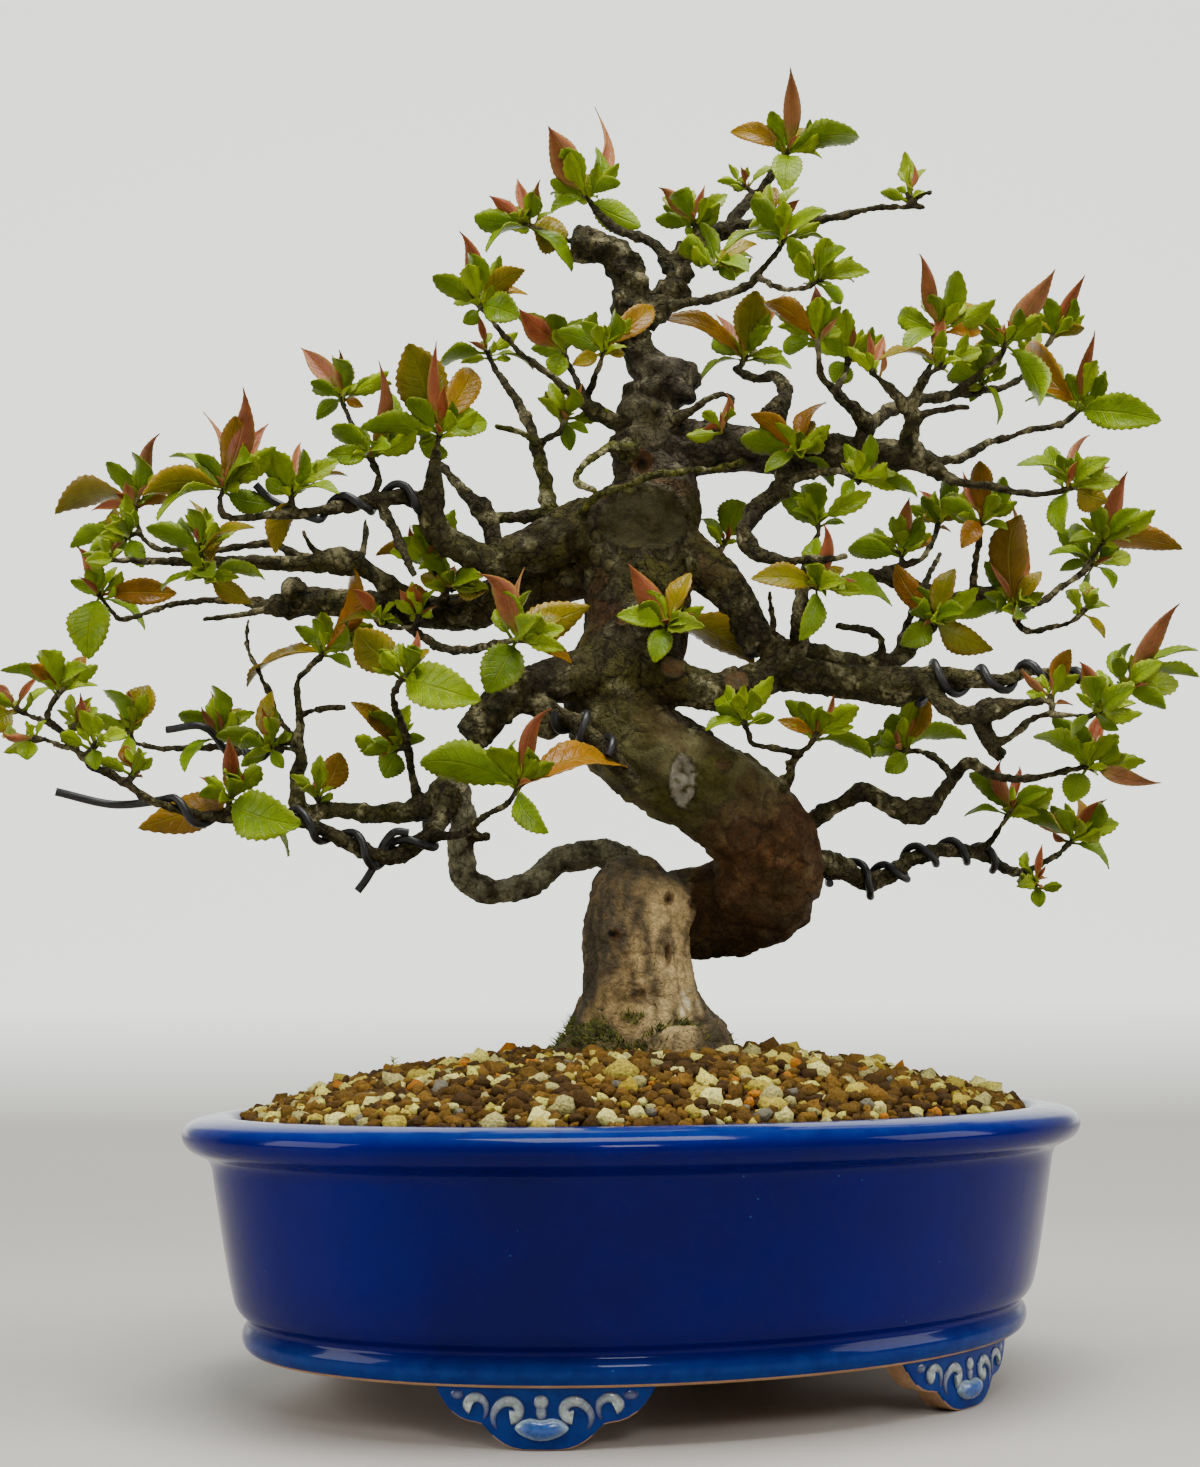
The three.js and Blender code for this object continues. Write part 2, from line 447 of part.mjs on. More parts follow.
const SHOOTS = {
  shoot_crown: [
    stem('crown_a', [37, 433, 3.2, 8], [42, 441, 2.8], [50, 449, 2.5], [58, 460, 1.7, 15]),
    stem('crown_b', [39, 434, 2.5, 8], [48, 435, 2.3], [75, 436.5, 2], [93, 440.5, 1.6], [113, 441, 1.2, -8]),
    rosette('crown_a', 60, 463, 0, red(65, 498, 7), bronze(38, 472, 9), green(88, 470, 7), green(62, 479, 4),
      green(59, 447, 12)),
    rosette('crown_a', 46, 448, 0),
    rosette('crown_b', 56, 436, -2, bronze(52, 449, 6), red(64, 445, 4)),
    rosette('crown_b', 107, 443, 0),
  ],
  shoot_crown_left: [
    rosette('top', 24, 434, -3, red(11, 451, 6), red(20, 449, 3), green(30, 441, 4), green(20, 431),
      green(33, 438, 4)),
  ],
  shoot_crown_fork: [
    stem('fork_up', [45, 410, 1.9, -10], [50, 417, 1.6], [56, 424, 1.4, -16]),
    stem('fork_side', [48, 413, 1.5, -12], [57, 408.5, 1.4], [67, 409, 1.2, -28]),
    rosette('fork_up', 57, 426, 0, green(35, 424, 5), green(75, 427, 3), red(62, 436, 3)),
    rosette('fork_side', 70, 411, 0, red(75, 428, 5), green(80, 403, 4), green(62, 418, 4)),
  ],
  shoot_crown_low: [
    rosette('top', 31, 418, -9, green(24, 424, 8), green(46, 421, 6), green(39, 412, 5)),
  ],
  shoot_top: [
    rosette('top_left', -18, 446, 0, red(-35, 473, 13), red(-12.5, 480, 5), bronze(-31, 462, 6),
      green(-14, 466, 6), green(-5, 452, 4), green(-32, 447, 5), green(-32, 440, 6), green(3, 434, 13)),
  ],
  shoot_top_side: [
    rosette('trunk', -41, 435, -6, red(-55, 448, 6), red(-43, 454, 5), red(-37, 454, 3), olive(-25, 431, 15),
      green(-57, 424, 3), green(-24, 416, 7)),
  ],
  shoot_left_high: [
    rosette('left_high', -60, 403, 0, red(-65, 433, 7), green(-60, 416, 4), olive(-42, 417, 7),
      bronze(-41, 407, 5), green(-44, 398, 12), green(-66, 396, 6)),
  ],
  shoot_left_pair: [
    stem('pair_a', [-17, 361, 2.5, -4], [-21, 370, 1.8], [-26, 380, 1.3, 6]),
    stem('pair_b', [-19, 366, 1.9, -1], [-16, 372, 1.6], [-13, 380, 1.3, -12]),
    rosette('pair_a', -27, 384, 0, red(-43, 403, 10), green(-33, 380, 4), green(-31, 374, 9)),
    rosette('pair_b', -12, 384, 0, bronze(7, 402, 10), green(-14, 392, 5), olive(-4, 383, 4),
      olive(-24, 379, 6)),
  ],
  shoot_left_tip: [
    stem('tip_up', [-37, 343.5, 3, 4], [-40, 353, 2.8], [-44, 363, 2.3], [-50, 372, 1.9], [-54, 378, 1.5, 16]),
    stem('tip_right', [-37, 348, 1.9, 5], [-29, 352.5, 1.5, -4]),
    rosette('tip_up', -56, 383, 0, green(-75, 379, 4), green(-39, 377, 3)),
    rosette('tip_right', -27, 357, 0, olive(-34, 367, 5), green(-25, 345, 6), green(-18, 352, 4)),
  ],
  shoot_left_mid: [
    rosette('left_mid', -75, 352, 0, olive(-87, 388, 19), red(-88, 381, 8), red(-74, 389, 4),
      bronze(-63, 378, 11), red(-71, 371, 4), green(-57, 357, 11), green(-105, 355, 6),
      green(-80, 343, 12)),
  ],
  shoot_left_fork: [
    stem('fork_left', [-99.5, 338, 1.6, -12], [-103, 348, 1.4], [-108, 356, 1.3], [-111.5, 363, 1.1, 4]),
    rosette('fork_left', -101, 343, -3, red(-101, 382, 6), green(-93, 368, 8), green(-118, 344, 8)),
    rosette('fork_left', -112, 366, 0, red(-126, 388, 8), red(-112, 386, 3), green(-122, 358, 5),
      bronze(-104, 363, 4), green(-93, 372, 3)),
  ],
  shoot_west_high: [
    stem('west_high', [-151, 308.7, 1.8, 5], [-162, 307, 1.6], [-174, 307.5, 1.6], [-184, 309.5, 1.5],
      [-189, 316, 1.3], [-190.5, 322, 1.2, 12]),
    rosette('west_high', -190, 325, 0, red(-184, 354, 6), olive(-221, 322, 7), red(-195, 334, 5),
      red(-207, 325, 4), bronze(-178, 328, 4)),
    rosette('west_high', -193, 313, -2, green(-215, 309, 6), green(-187, 301, 8), green(-201, 304, 5)),
  ],
  shoot_wired: [
    stem('wired_end', [-124, 322, 2.3, -23], [-135, 321, 2.1], [-145, 320.5, 1.9], [-157, 321, 1.6],
      [-158.5, 328, 1.3, -28]),
    rosette('wired_end', -157, 331, 0, red(-147, 370, 9), red(-143, 358, 6), bronze(-153, 360, 10),
      red(-163, 360, 3), olive(-188, 329, 7), green(-178, 344, 4), green(-143, 343, 5), green(-137, 325, 9),
      green(-182, 319, 4)),
    rosette('wired_end', -131, 329, 0, red(-130, 350, 4), green(-141, 335, 6), olive(-110, 336, 4),
      green(-113, 329, 4), olive(-137, 306, 8)),
  ],
  shoot_west_mid: [
    stem('west_mid', [-144, 303, 3, -6], [-156, 303, 2.5], [-170, 303, 2.2], [-184, 303.5, 1.8],
      [-196, 304, 1.3, -16]),
    rosette('west_mid', -165, 308, 0, red(-167, 318, 4), olive(-170, 327, 4), olive(-145, 316, 5)),
    rosette('west_mid', -163, 297, -2, olive(-146, 287, 8), green(-141, 296, 4), green(-180, 292, 4)),
    rosette('west_mid', -198, 304, 0),
  ],
  shoot_west_low: [
    stem('west_low', [-188, 282.5, 1.5, 28], [-195, 281, 1.4], [-201, 287, 1.2, 30]),
    rosette('west_low', -203, 290, 0, red(-211, 310, 7), bronze(-174, 291, 11), green(-207, 266, 17),
      green(-186, 277, 4)),
  ],
  shoot_far_left: [
    stem('far_a', [-184, 213, 1.9, -26], [-195, 221, 1.8], [-205, 226, 1.7], [-210, 231, 1.6],
      [-217, 239, 1.4], [-222, 244, 1.3], [-220, 250, 1.2, -34]),
    stem('far_b', [-209, 230.5, 1.4, -29], [-217, 233.5, 1.3], [-223, 236, 1.1, -42]),
    stem('far_c', [-217, 239, 1.4, -31], [-224, 243, 1.2], [-229, 245, 1.1, -24]),
    rosette('far_a', -217, 254, 0, bronze(-229, 264, 5), bronze(-208, 267, 5), green(-240, 262, 4)),
    rosette('far_a', -212, 240, 4, bronze(-206, 250, 5)),
    rosette('far_c', -231, 246, 0, olive(-245, 240, 11), red(-243, 257, 5)),
    rosette('far_b', -225, 236, 0, green(-229, 228, 7)),
    rosette('far_a', -204, 233, -4, red(-208, 254, 4), green(-203, 224, 6)),
    rosette('far_a', -190, 221, 0, bronze(-193, 233, 5)),
  ],
  shoot_low_west: [
    stem('low_west', [-152, 232.5, 1.8, 21], [-165, 232, 1.7], [-178, 232, 1.5], [-189, 234, 1.3, 32]),
    rosette('low_west', -191, 238, 0, red(-193, 254, 5), olive(-184, 256, 13), green(-190, 226, 6)),
    rosette('low_west', -157, 236, 0, red(-159, 253, 3), red(-163, 248, 3), green(-150, 241, 4),
      green(-170, 223, 6)),
  ],
  shoot_low_front: [
    rosette('low_b', -153, 212, -6, red(-156, 236, 6), red(-163, 222, 3), red(-147, 222, 3),
      bronze(-187, 202, 14), green(-126, 203, 17), green(-131, 191, 4)),
  ],
  shoot_low_inner: [
    rosette('low_a', -138, 232, -6, red(-140, 247, 4), green(-149, 225, 5), green(-133, 224, 5),
      green(-130, 237, 4)),
  ],
  shoot_low_mid: [
    rosette('low_a', -120, 212, -5, bronze(-112, 230, 11), red(-121, 222, 4)),
  ],
  shoot_mid_a: [
    rosette('low_a', -118, 268, 0, bronze(-107, 300, 11), olive(-127, 290, 5), bronze(-110, 275, 4),
      olive(-147, 255, 6), green(-108, 262, 4)),
  ],
  shoot_mid_b: [
    stem('mid_b', [-97, 283, 2.2, 8], [-97, 279, 1.8, 2], [-90, 277, 1.5, -1], [-84, 278, 1.2, -2]),
    rosette('mid_b', -97, 280, -4, red(-107, 293, 5), olive(-114, 277, 4)),
    rosette('mid_b', -83, 280, -2, bronze(-84, 294, 8), red(-91, 291, 4)),
  ],
  shoot_mid_c: [
    stem('mid_c', [-90.5, 244, 1.7, -15], [-92, 250, 1.5], [-90, 256, 1.4, -27]),
    rosette('mid_c', -88, 258, -3, olive(-106, 277, 15), red(-85, 276, 4), green(-59, 249, 16)),
  ],
  shoot_mid_d: [
    stem('mid_d', [-74, 286, 3, 4], [-73, 292, 1.9], [-77, 299, 1.4, -3]),
    rosette('mid_d', -78, 301, 0, red(-87, 316, 4), bronze(-99, 305, 3), olive(-66, 306, 3)),
    rosette('mid_d', -71, 292, -3, olive(-82, 297, 6), olive(-56, 292, 9), red(-70, 301, 4),
      green(-62, 299, 4)),
  ],
  shoot_mid_front: [
    rosette('to_c7', -45, 272, -5, red(-58, 299, 9), red(-44, 299, 3), green(-40, 291, 3), olive(-18, 285, 13),
      green(-57, 252, 15), bronze(-25, 263, 6)),
  ],
  shoot_trunk_front: [
    rosette('trunk', 11, 277, -22, red(-1, 302, 9), red(16, 291, 3), green(-8, 281, 8), olive(44, 262, 9),
      green(6, 263, 9)),
  ],
  shoot_low_front_b: [
    rosette('to_d1', -45, 217, -2, red(-35, 247, 6), green(-46, 234, 3), green(-82, 226, 14),
      bronze(-4, 223, 11), green(-34, 199, 8)),
  ],
  shoot_low_stem: [
    rosette('to_d2', -91, 231, 1, bronze(-108, 249, 7), green(-95, 220, 11), green(-80, 235, 4)),
  ],
  shoot_east_high: [
    rosette('to_e1', 170, 360, 0, red(179, 391, 5), bronze(151, 386, 10), green(201, 355, 14),
      green(149, 363, 4)),
  ],
  shoot_east_top: [
    stem('east_top', [121, 366, 2.4, 12], [131, 367.5, 2.1], [142, 369, 1.8], [151, 375, 1.5],
      [159, 386, 1.2, 30]),
    stem('east_top_b', [122, 367, 2, 12], [131, 373, 1.7], [138, 379, 1.5], [141, 382, 1.3, 4]),
    rosette('east_top_b', 142, 385, 0, red(160, 417, 9), olive(112, 401, 10), green(155, 362, 6),
      green(129, 382, 4)),
    rosette('east_top', 161, 389, 0, red(172, 414, 5), olive(150, 397, 4), olive(173, 392, 4)),
    rosette('east_top', 133, 371, -4, green(138, 354, 4), bronze(126, 376, 4), green(128, 363, 4)),
    rosette('east_top', 152, 378, 2, green(164, 371, 6)),
  ],
  shoot_east_fork: [
    stem('fork_a', [105, 351, 4, -19], [106, 360, 2.8], [108, 367, 2.4], [112, 374, 1.6, -30]),
    stem('fork_b', [105.5, 357, 3, -21], [100, 366, 2.4], [95, 371, 1.8, -34]),
    stem('fork_c', [108.5, 368, 1.8, -26], [113, 378, 1.4], [116, 387, 1.3, -22]),
    rosette('fork_c', 117, 390, 0, red(113, 423, 6), bronze(133, 391, 6), green(103, 383, 7)),
    rosette('fork_a', 117, 377, 0, red(120, 399, 5), olive(94, 380, 4)),
    rosette('fork_b', 93, 373, 0, red(94, 390, 4)),
  ],
  shoot_east_inner: [
    stem('inner_a', [84, 360.5, 3, -18], [78, 366, 2.2], [72, 373, 1.7], [70.5, 384, 1.3, -30]),
    stem('inner_b', [77, 367, 1.8, -22], [81, 376, 1.3, -16]),
    rosette('inner_b', 82, 380, 0, red(83, 397, 5), green(76, 371, 10), olive(93, 375, 3)),
    rosette('inner_a', 70, 388, 0, red(72, 410, 5), bronze(50, 403, 6), green(67, 397, 5), green(57, 385, 6)),
  ],
  shoot_centre: [
    rosette('up_a', 42, 381, 3, olive(47, 408, 15), red(55, 407, 7), red(41, 402, 4), red(29, 399, 5),
      bronze(10, 397, 10), green(60, 377, 8), green(25, 372, 3)),
  ],
  shoot_centre_low: [
    stem('centre_low', [14, 357, 3.5, -6], [22, 361, 1.7], [33, 367, 1.5], [37, 364, 1.3], [35, 358, 1.2, -14]),
    rosette('centre_low', 34, 355, 0, red(36, 367, 4)),
  ],
  shoot_east_front: [
    rosette('right_high', 62, 343, -12, bronze(44, 359, 6), bronze(73, 363, 6), green(49, 336, 6),
      green(75, 330, 3), green(63, 352, 4)),
  ],
  shoot_east_end: [
    stem('east_end', [116, 335, 2.9, -15], [124, 331.5, 2.1], [135, 330, 1.8], [147, 327, 1.6],
      [161, 327.5, 1.3, -26]),
    rosette('east_end', 165, 329, 0, green(145, 338, 5), red(173, 352, 3), green(166, 341, 4),
      olive(179, 324, 12), green(162, 311, 6)),
  ],
  shoot_east_drop: [
    rosette('to_e15', 131, 316, 0, bronze(131, 340, 8), red(126, 337, 3), bronze(123, 306, 8),
      green(139, 323, 4), green(141, 313, 4)),
  ],
  shoot_east_mid: [
    rosette('right_upper', 142, 283, -6, bronze(146, 319, 15), red(142, 325, 4), red(133, 300, 3),
      green(120, 279, 7)),
  ],
  shoot_east_mid_b: [
    rosette('right_upper', 112, 277, -10, bronze(98, 300, 9), red(116, 293, 3), green(99, 269, 10),
      olive(134, 267, 12)),
  ],
  shoot_east_back: [
    stem('east_back', [90, 296, 2.3, 1], [98, 299, 2], [108, 302, 1.7], [113, 311, 1.4, 16]),
    rosette('east_back', 100, 304, 0, red(102, 326, 6), bronze(112, 311, 5), green(80, 306, 8)),
    rosette('east_back', 115, 316, 0, red(109, 329, 5), olive(121, 321, 5), olive(110, 320, 5)),
  ],
  shoot_east_up: [
    stem('east_up', [62, 283, 3.5, -21], [63, 295, 2.6], [66, 305, 1.8], [69, 312, 1.2, -14]),
    rosette('east_up', 69, 291, -6, red(73, 316, 5), red(65, 310, 4), olive(43, 295, 10), green(96, 284, 10),
      green(61, 271, 8)),
    rosette('east_up', 69, 315, 0, red(68, 330, 4), green(59, 321, 3), green(79, 316, 3)),
  ],
  shoot_under: [
    rosette('to_e22', 84, 333, 0, green(107, 326, 3), green(89, 344, 5), green(78, 326, 5)),
  ],
  shoot_behind: [
    rosette('right_mid', 33, 308, 12, green(40, 325, 14), green(24, 318, 5)),
  ],
  shoot_east_tips: [
    stem('tips_a', [141, 287.5, 2.8, 10], [148, 284, 2.2], [155, 287, 1.9], [164, 293, 1.6],
      [171, 298, 1.3, 28]),
    stem('tips_b', [149, 284.5, 2, 15], [143, 278, 1.8, 6], [147, 274, 1.6], [156, 275, 1.4],
      [165, 278, 1.2, -12]),
    stem('tips_c', [167, 295, 1.5, 26], [175, 305, 1.2, 16]),
    rosette('tips_a', 173, 299, 2, green(156, 303, 4), green(160, 297, 4), green(180, 290, 5),
      green(171, 286, 4)),
    rosette('tips_c', 177, 308, 0, red(185, 336, 7), bronze(207, 305, 8), green(164, 308, 4)),
    rosette('tips_b', 168, 281, 0, bronze(172, 291, 4), olive(176, 271, 4)),
  ],
  shoot_east_low: [
    stem('low_a', [129, 237, 3, -29], [134, 232, 1.9], [141, 235, 1.7], [148, 241, 1.6], [158, 242, 1.4],
      [169, 241, 1.2, -44]),
    rosette('low_a', 155, 248, 2, bronze(163, 267, 7), green(148, 256, 3)),
    rosette('low_a', 172, 243, 0, red(168, 263, 6), green(182, 249, 4), green(162, 233, 4), green(180, 236, 4)),
  ],
  shoot_east_tip: [
    rosette('right_collar', 182, 252, 0, red(202, 286, 6), green(186, 269, 4), green(211, 266, 3),
      green(211, 256, 3), green(198, 244, 5)),
  ],
  shoot_front_low: [
    stem('front_low', [60, 228, 1.7, -19.5], [52, 230, 1.6], [43, 231.5, 1.4], [41, 236, 1.3, -26]),
    stem('front_low_b', [56, 223, 2.1, -17], [60, 228, 1.7], [64, 231, 1.3, -24]),
    rosette('front_low_b', 66, 234, 0, bronze(52, 241, 5), red(73, 252, 3), green(69, 246, 4),
      green(87, 226, 4)),
    rosette('front_low', 40, 239, 0, green(25, 237, 4), green(33, 248, 4), green(51, 242, 4)),
  ],
  shoot_low_east: [
    rosette('to_g2', 168, 222, 0, green(148, 234, 5), red(180, 246, 5), red(194, 214, 6), green(161, 209, 10)),
  ],
  shoot_low_east_b: [
    stem('low_east', [117, 219, 2.3, -12], [110, 227, 1.6], [103, 229, 1.3, -2]),
    rosette('low_east', 100, 229, 0, green(95, 243, 8), red(101, 248, 4), bronze(107, 254, 5),
      green(123, 233, 5), green(92, 221, 8)),
  ],
  shoot_low_east_c: [
    stem('east_c', [134, 185.5, 2.3, 25], [141, 183, 2], [149, 186, 1.7], [156, 190, 1.4, 32]),
    rosette('east_c', 161, 195, 0, red(142, 212, 7), bronze(163, 211, 6), red(173, 211, 5),
      green(174, 184, 6)),
    rosette('east_c', 146, 179, -3, green(148, 170, 6), red(151, 193, 3)),
  ],
  shoot_low_east_d: [
    stem('east_d', [124, 190.5, 2.3, 21], [131, 195, 1.6], [135, 201, 1.3, 12]),
    rosette('east_d', 138, 205, 0, red(134, 225, 6), red(144, 223, 3), green(157, 198, 5), green(121, 204, 3)),
  ],
};

// How wide a leaf of each colour really is for its length, and how strongly its tip bends back
const LEAF_FORMS = {
  red: { breadth: 0.2, arch: 0.06 },
  bronze: { breadth: 0.34, arch: 0.16 },
  olive: { breadth: 0.42, arch: 0.14 },
  green: { breadth: 0.42, arch: 0.16 },
};
const DEPTH_TRIES = [1, 0.6, 1.5, -0.7, 0.15, -1.2, 2.1, -1.8, 2.8];
const STALK_RADIUS = 1.4;
const STALK_HEAD = 2.2;
const UPRIGHT = 0.75;
const SMALLEST_LEAF = 17;
const PETIOLE_HALF_WIDTH = 0.8;

// An arched blade with raised edges and a keel below: a three-sided cylinder bent from root to tip
function blade(root, tip, form, seenWidth, turn, grow = 0) {
  const length = root.distanceTo(tip);
  const rings = seenWidth >= 9 ? 3 : 2;
  const stations = rings === 3 ? [0, 0.3, 0.68, 1] : [0, 0.42, 1];
  const widths = rings === 3 ? [0, 1, 0.78, 0] : [0, 1, 0];
  const axis = tip.clone().sub(root).normalize();
  const side = axis.clone().cross(new THREE.Vector3(0, 1, 0)).normalize();
  const front = side.clone().cross(axis).normalize();
  const trueWidth = Math.max(seenWidth, form.breadth * length, 3);
  const swing = Math.acos(Math.min(1, seenWidth / trueWidth)) * turn;
  const across = side.clone().multiplyScalar(Math.cos(swing)).addScaledVector(front, Math.sin(swing));
  const face = axis.clone().cross(across).normalize();
  if (face.z < 0) {
    face.negate();
    across.negate();
  }
  const middle = root.clone().lerp(tip, 0.5);
  middle.addScaledVector(face, 2 * form.arch * length);
  const spine = new THREE.QuadraticBezierCurve3(root, middle, tip);
  const geometry = new THREE.CylinderGeometry(0, 1, 1, 3, rings);
  const position = geometry.attributes.position;
  for (let i = 0; i < position.count; i += 1) {
    const ring = Math.round((position.getY(i) + 0.5) * rings);
    const edge = Math.sign(Math.round(20 * position.getX(i)));
    const onKeel = position.getZ(i) > 0.01;
    const halfWidth = ring === 0 ? PETIOLE_HALF_WIDTH + grow : widths[ring] * (0.5 * trueWidth + grow);
    const keel = onKeel ? -(0.5 * BLADE_THICKNESS + grow) : 0;
    const rise = edge === 0 ? 0 : 0.25 + 0.16 * halfWidth + grow;
    const tangent = spine.getTangent(stations[ring]);
    const rib = tangent.clone().cross(across).normalize();
    const point = spine.getPoint(stations[ring]).addScaledVector(tangent, ring === rings ? grow : 0);
    point.addScaledVector(across, edge * halfWidth);
    point.addScaledVector(rib, keel + rise);
    position.setXYZ(i, point.x, point.y, point.z);
  }
  return toSolid(geometry);
}

function nearestSeat(seats, u, v) {
  let best = seats[0];
  let bestDistance = Infinity;
  for (const seat of seats) {
    const reach = EYE_DISTANCE / (EYE_DISTANCE + seat.point.y);
    const seen = seat.point.clone().sub(EYE).multiplyScalar(reach).add(EYE);
    const distance = Math.hypot(seen.x - u, seen.z - v);
    if (distance < bestDistance) {
      best = seat;
      bestDistance = distance;
    }
  }
  return best;
}

// Everything that a later piece has to keep clear of, with its owner's name
const taken = [];

function take(solid, owner) {
  taken.push({ solid, box: boxOf(solid), owner });
}

function meets(solid, owner) {
  const box = boxOf(solid);
  return taken.some((other) => {
    if (other.owner === owner || !other.box.intersectsBox(box)) {
      return false;
    }
    return other.solid.intersect(solid).volume() > 1e-4;
  });
}

function shootStems(name, parts) {
  const stems = new Map();
  const solids = [];
  for (const { name: stemName, points } of parts.filter((part) => part.points)) {
    const grown = grownLimb(points, () => 14);
    stems.set(stemName, grown);
    solids.push(grown.solid);
  }
  const whorls = parts.filter((part) => part.leaves).map((part) => {
    const { seats } = stems.get(part.seat) ?? wood.get(part.seat);
    const seat = nearestSeat(seats, part.u, part.v);
    const base = sight(part.u, part.v, seat.point.y + part.lift);
    const away = base.clone().sub(seat.point);
    if (away.length() < seat.radius + 2.5) {
      base.copy(seat.point).addScaledVector(away.normalize(), seat.radius + 2.5);
    }
    const up = base.clone().sub(seat.point).normalize();
    const end = base.clone().addScaledVector(up, STALK_HEAD);
    solids.push(tube([seat.point, end], [STALK_RADIUS, STALK_RADIUS + 0.7], 3, 1));
    return { base, up, leaves: part.leaves };
  });
  for (const solid of solids) {
    take(solid, name);
  }
  return { name, solids, whorls };
}

function addLeaves({ name, solids, whorls }, firstSeed) {
  let seed = firstSeed;
  for (const { base, up, leaves } of whorls) {
    for (const [index, leaf] of leaves.entries()) {
      seed += 1;
      const form = LEAF_FORMS[leaf.kind];
      const flat = sight(leaf.u, leaf.v, base.y).distanceTo(base);
      if ((flat < SMALLEST_LEAF && leaf.width < 7) || leaf.width <= 3) {
        continue;
      }
      const lean = flat * (0.2 + 0.55 * draw(seed)) * (seed % 2 === 0 ? 1 : -1);
      const turn = draw(seed + 0.5) > 0.5 ? 1 : -1;
      const place = (share, grow) => {
        const tip = sight(leaf.u, leaf.v, base.y + lean * share);
        const direction = tip.clone().sub(base).normalize();
        const outward = direction.clone().projectOnPlane(up).normalize();
        const upright = direction.dot(up) > UPRIGHT;
        const level = upright ? 0.75 : 0.4 - 1.2 * index / leaves.length;
        const root = base.clone().addScaledVector(up, STALK_HEAD * level);
        root.addScaledVector(outward, upright ? 0.4 : 0.9);
        return blade(root, tip, form, leaf.width, turn, grow);
      };
      const fits = DEPTH_TRIES.find((share) => !meets(place(share, GAP), name));
      if (fits === undefined) {
        continue;
      }
      const solid = place(fits, 0);
      take(solid, name);
      solids.push(solid);
    }
  }
}

function makeShoot({ name, solids }) {
  const box = solids.map(boxOf).reduce((whole, part) => whole.union(part));
  let whole = joined(solids);
  for (const part of [...wood.values(), ...wires.values()]) {
    if (boxOf(part.grown).intersectsBox(box)) {
      whole = whole.subtract(part.grown);
    }
  }
  return largest(whole);
}

// Training wires: each is wound along a limb, and may run on to a free end
const WIRES = {
  wire_mid: { limb: 'left_wired', from: 0.08, to: 0.95, turns: 2, end: [[-139, 327, -31], [-145, 333, -33]] },
  wire_inner: { limb: 'to_b6', from: 0.2, to: 0.95, turns: 2, end: [[-163, 240, 24], [-177, 239, 26]] },
  wire_low: { limb: 'low_b', from: 0.08, to: 0.94, turns: 5, end: [[-196, 211, -33], [-218, 216, -38]] },
  wire_front: { limb: 'front_limb', from: 0.3, to: 0.72, turns: 2, end: [] },
  wire_east: { limb: 'right_collar', from: 0.58, to: 0.97, turns: 4, end: [] },
  wire_east_low: { limb: 'to_g3', from: 0.12, to: 0.94, turns: 5, end: [] },
};
const WIRE_SIDES = 4;
const STEPS_PER_TURN = 6;
const WIRE_SLACK = 0.3;

function makeWire({ limb: limbName, from, to, turns, end }) {
  const { seats } = wood.get(limbName);
  const count = turns * STEPS_PER_TURN;
  const points = [];
  for (let i = 0; i <= count; i += 1) {
    const seat = seats[Math.round((from + (to - from) * i / count) * (seats.length - 1))];
    const angle = i / STEPS_PER_TURN * 2 * Math.PI;
    const radius = (seat.radius + WIRE_RADIUS + GAP) / Math.cos(Math.PI / STEPS_PER_TURN) + WIRE_SLACK;
    const point = seat.point.clone();
    point.addScaledVector(seat.normal, radius * Math.cos(angle));
    point.addScaledVector(seat.binormal, radius * Math.sin(angle));
    points.push(point);
  }
  points.push(...end.map(([u, v, depth]) => sight(u, v, depth)));
  const radii = points.map(() => WIRE_RADIUS);
  const steps = count + end.length;
  return {
    solid: tube(points, radii, WIRE_SIDES, steps),
    grown: tube(points, radii, WIRE_SIDES, steps, GAP),
    seats: [],
  };
}

function clearOfWood(solid, ownLimb) {
  let whole = solid;
  for (const [name, part] of wood) {
    if (name !== ownLimb && boxOf(part.grown).intersectsBox(boxOf(whole))) {
      whole = whole.subtract(part.grown);
    }
  }
  return largest(whole);
}

const wires = new Map();
for (const [name, plan] of Object.entries(WIRES)) {
  wires.set(name, makeWire(plan));
}
for (const part of wood.values()) {
  take(part.grown, 'wood');
}
for (const part of wires.values()) {
  take(part.grown, 'wire');
}
const shoots = Object.entries(SHOOTS).map(([name, parts]) => shootStems(name, parts));
shoots.forEach((shoot, index) => addLeaves(shoot, 100 * index));

// The finishes, one material for each mesh
const FINISHES = {
  glaze: { color: 0x1a2a78, roughness: 0.15, metalness: 0 },
  bark: { color: 0x6b5a45, roughness: 0.85, metalness: 0 },
  soil: { color: 0x8a5a38, roughness: 0.95, metalness: 0 },
  wire: { color: 0x141416, roughness: 0.4, metalness: 0.6 },
  leaf: { color: 0x6f8a2e, roughness: 0.5, metalness: 0 },
};

function mesh(name, solid, finish) {
  const piece = new THREE.Mesh(toGeometry(solid), new THREE.MeshStandardMaterial(FINISHES[finish]));
  piece.name = name;
  return piece;
}

const bonsai = new THREE.Group();
bonsai.add(mesh('pot', makePot(), 'glaze'));
bonsai.add(mesh('soil', makeSoil(trunkHole()), 'soil'));
bonsai.add(mesh('wood', makeWood(), 'bark'));
for (const [name, wire] of wires) {
  bonsai.add(mesh(name, clearOfWood(wire.solid, WIRES[name].limb), 'wire'));
}
for (const shoot of shoots) {
  bonsai.add(mesh(shoot.name, makeShoot(shoot), 'leaf'));
}

// Stand the whole on z = 0 with its box centred on the origin
const reach = new THREE.Box3().setFromObject(bonsai);
bonsai.position.set(-(reach.min.x + reach.max.x) / 2, -(reach.min.y + reach.max.y) / 2, -reach.min.z);

export default bonsai;
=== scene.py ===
import math
import random

import bmesh
import bpy
from mathutils import Matrix, Vector, kdtree, noise


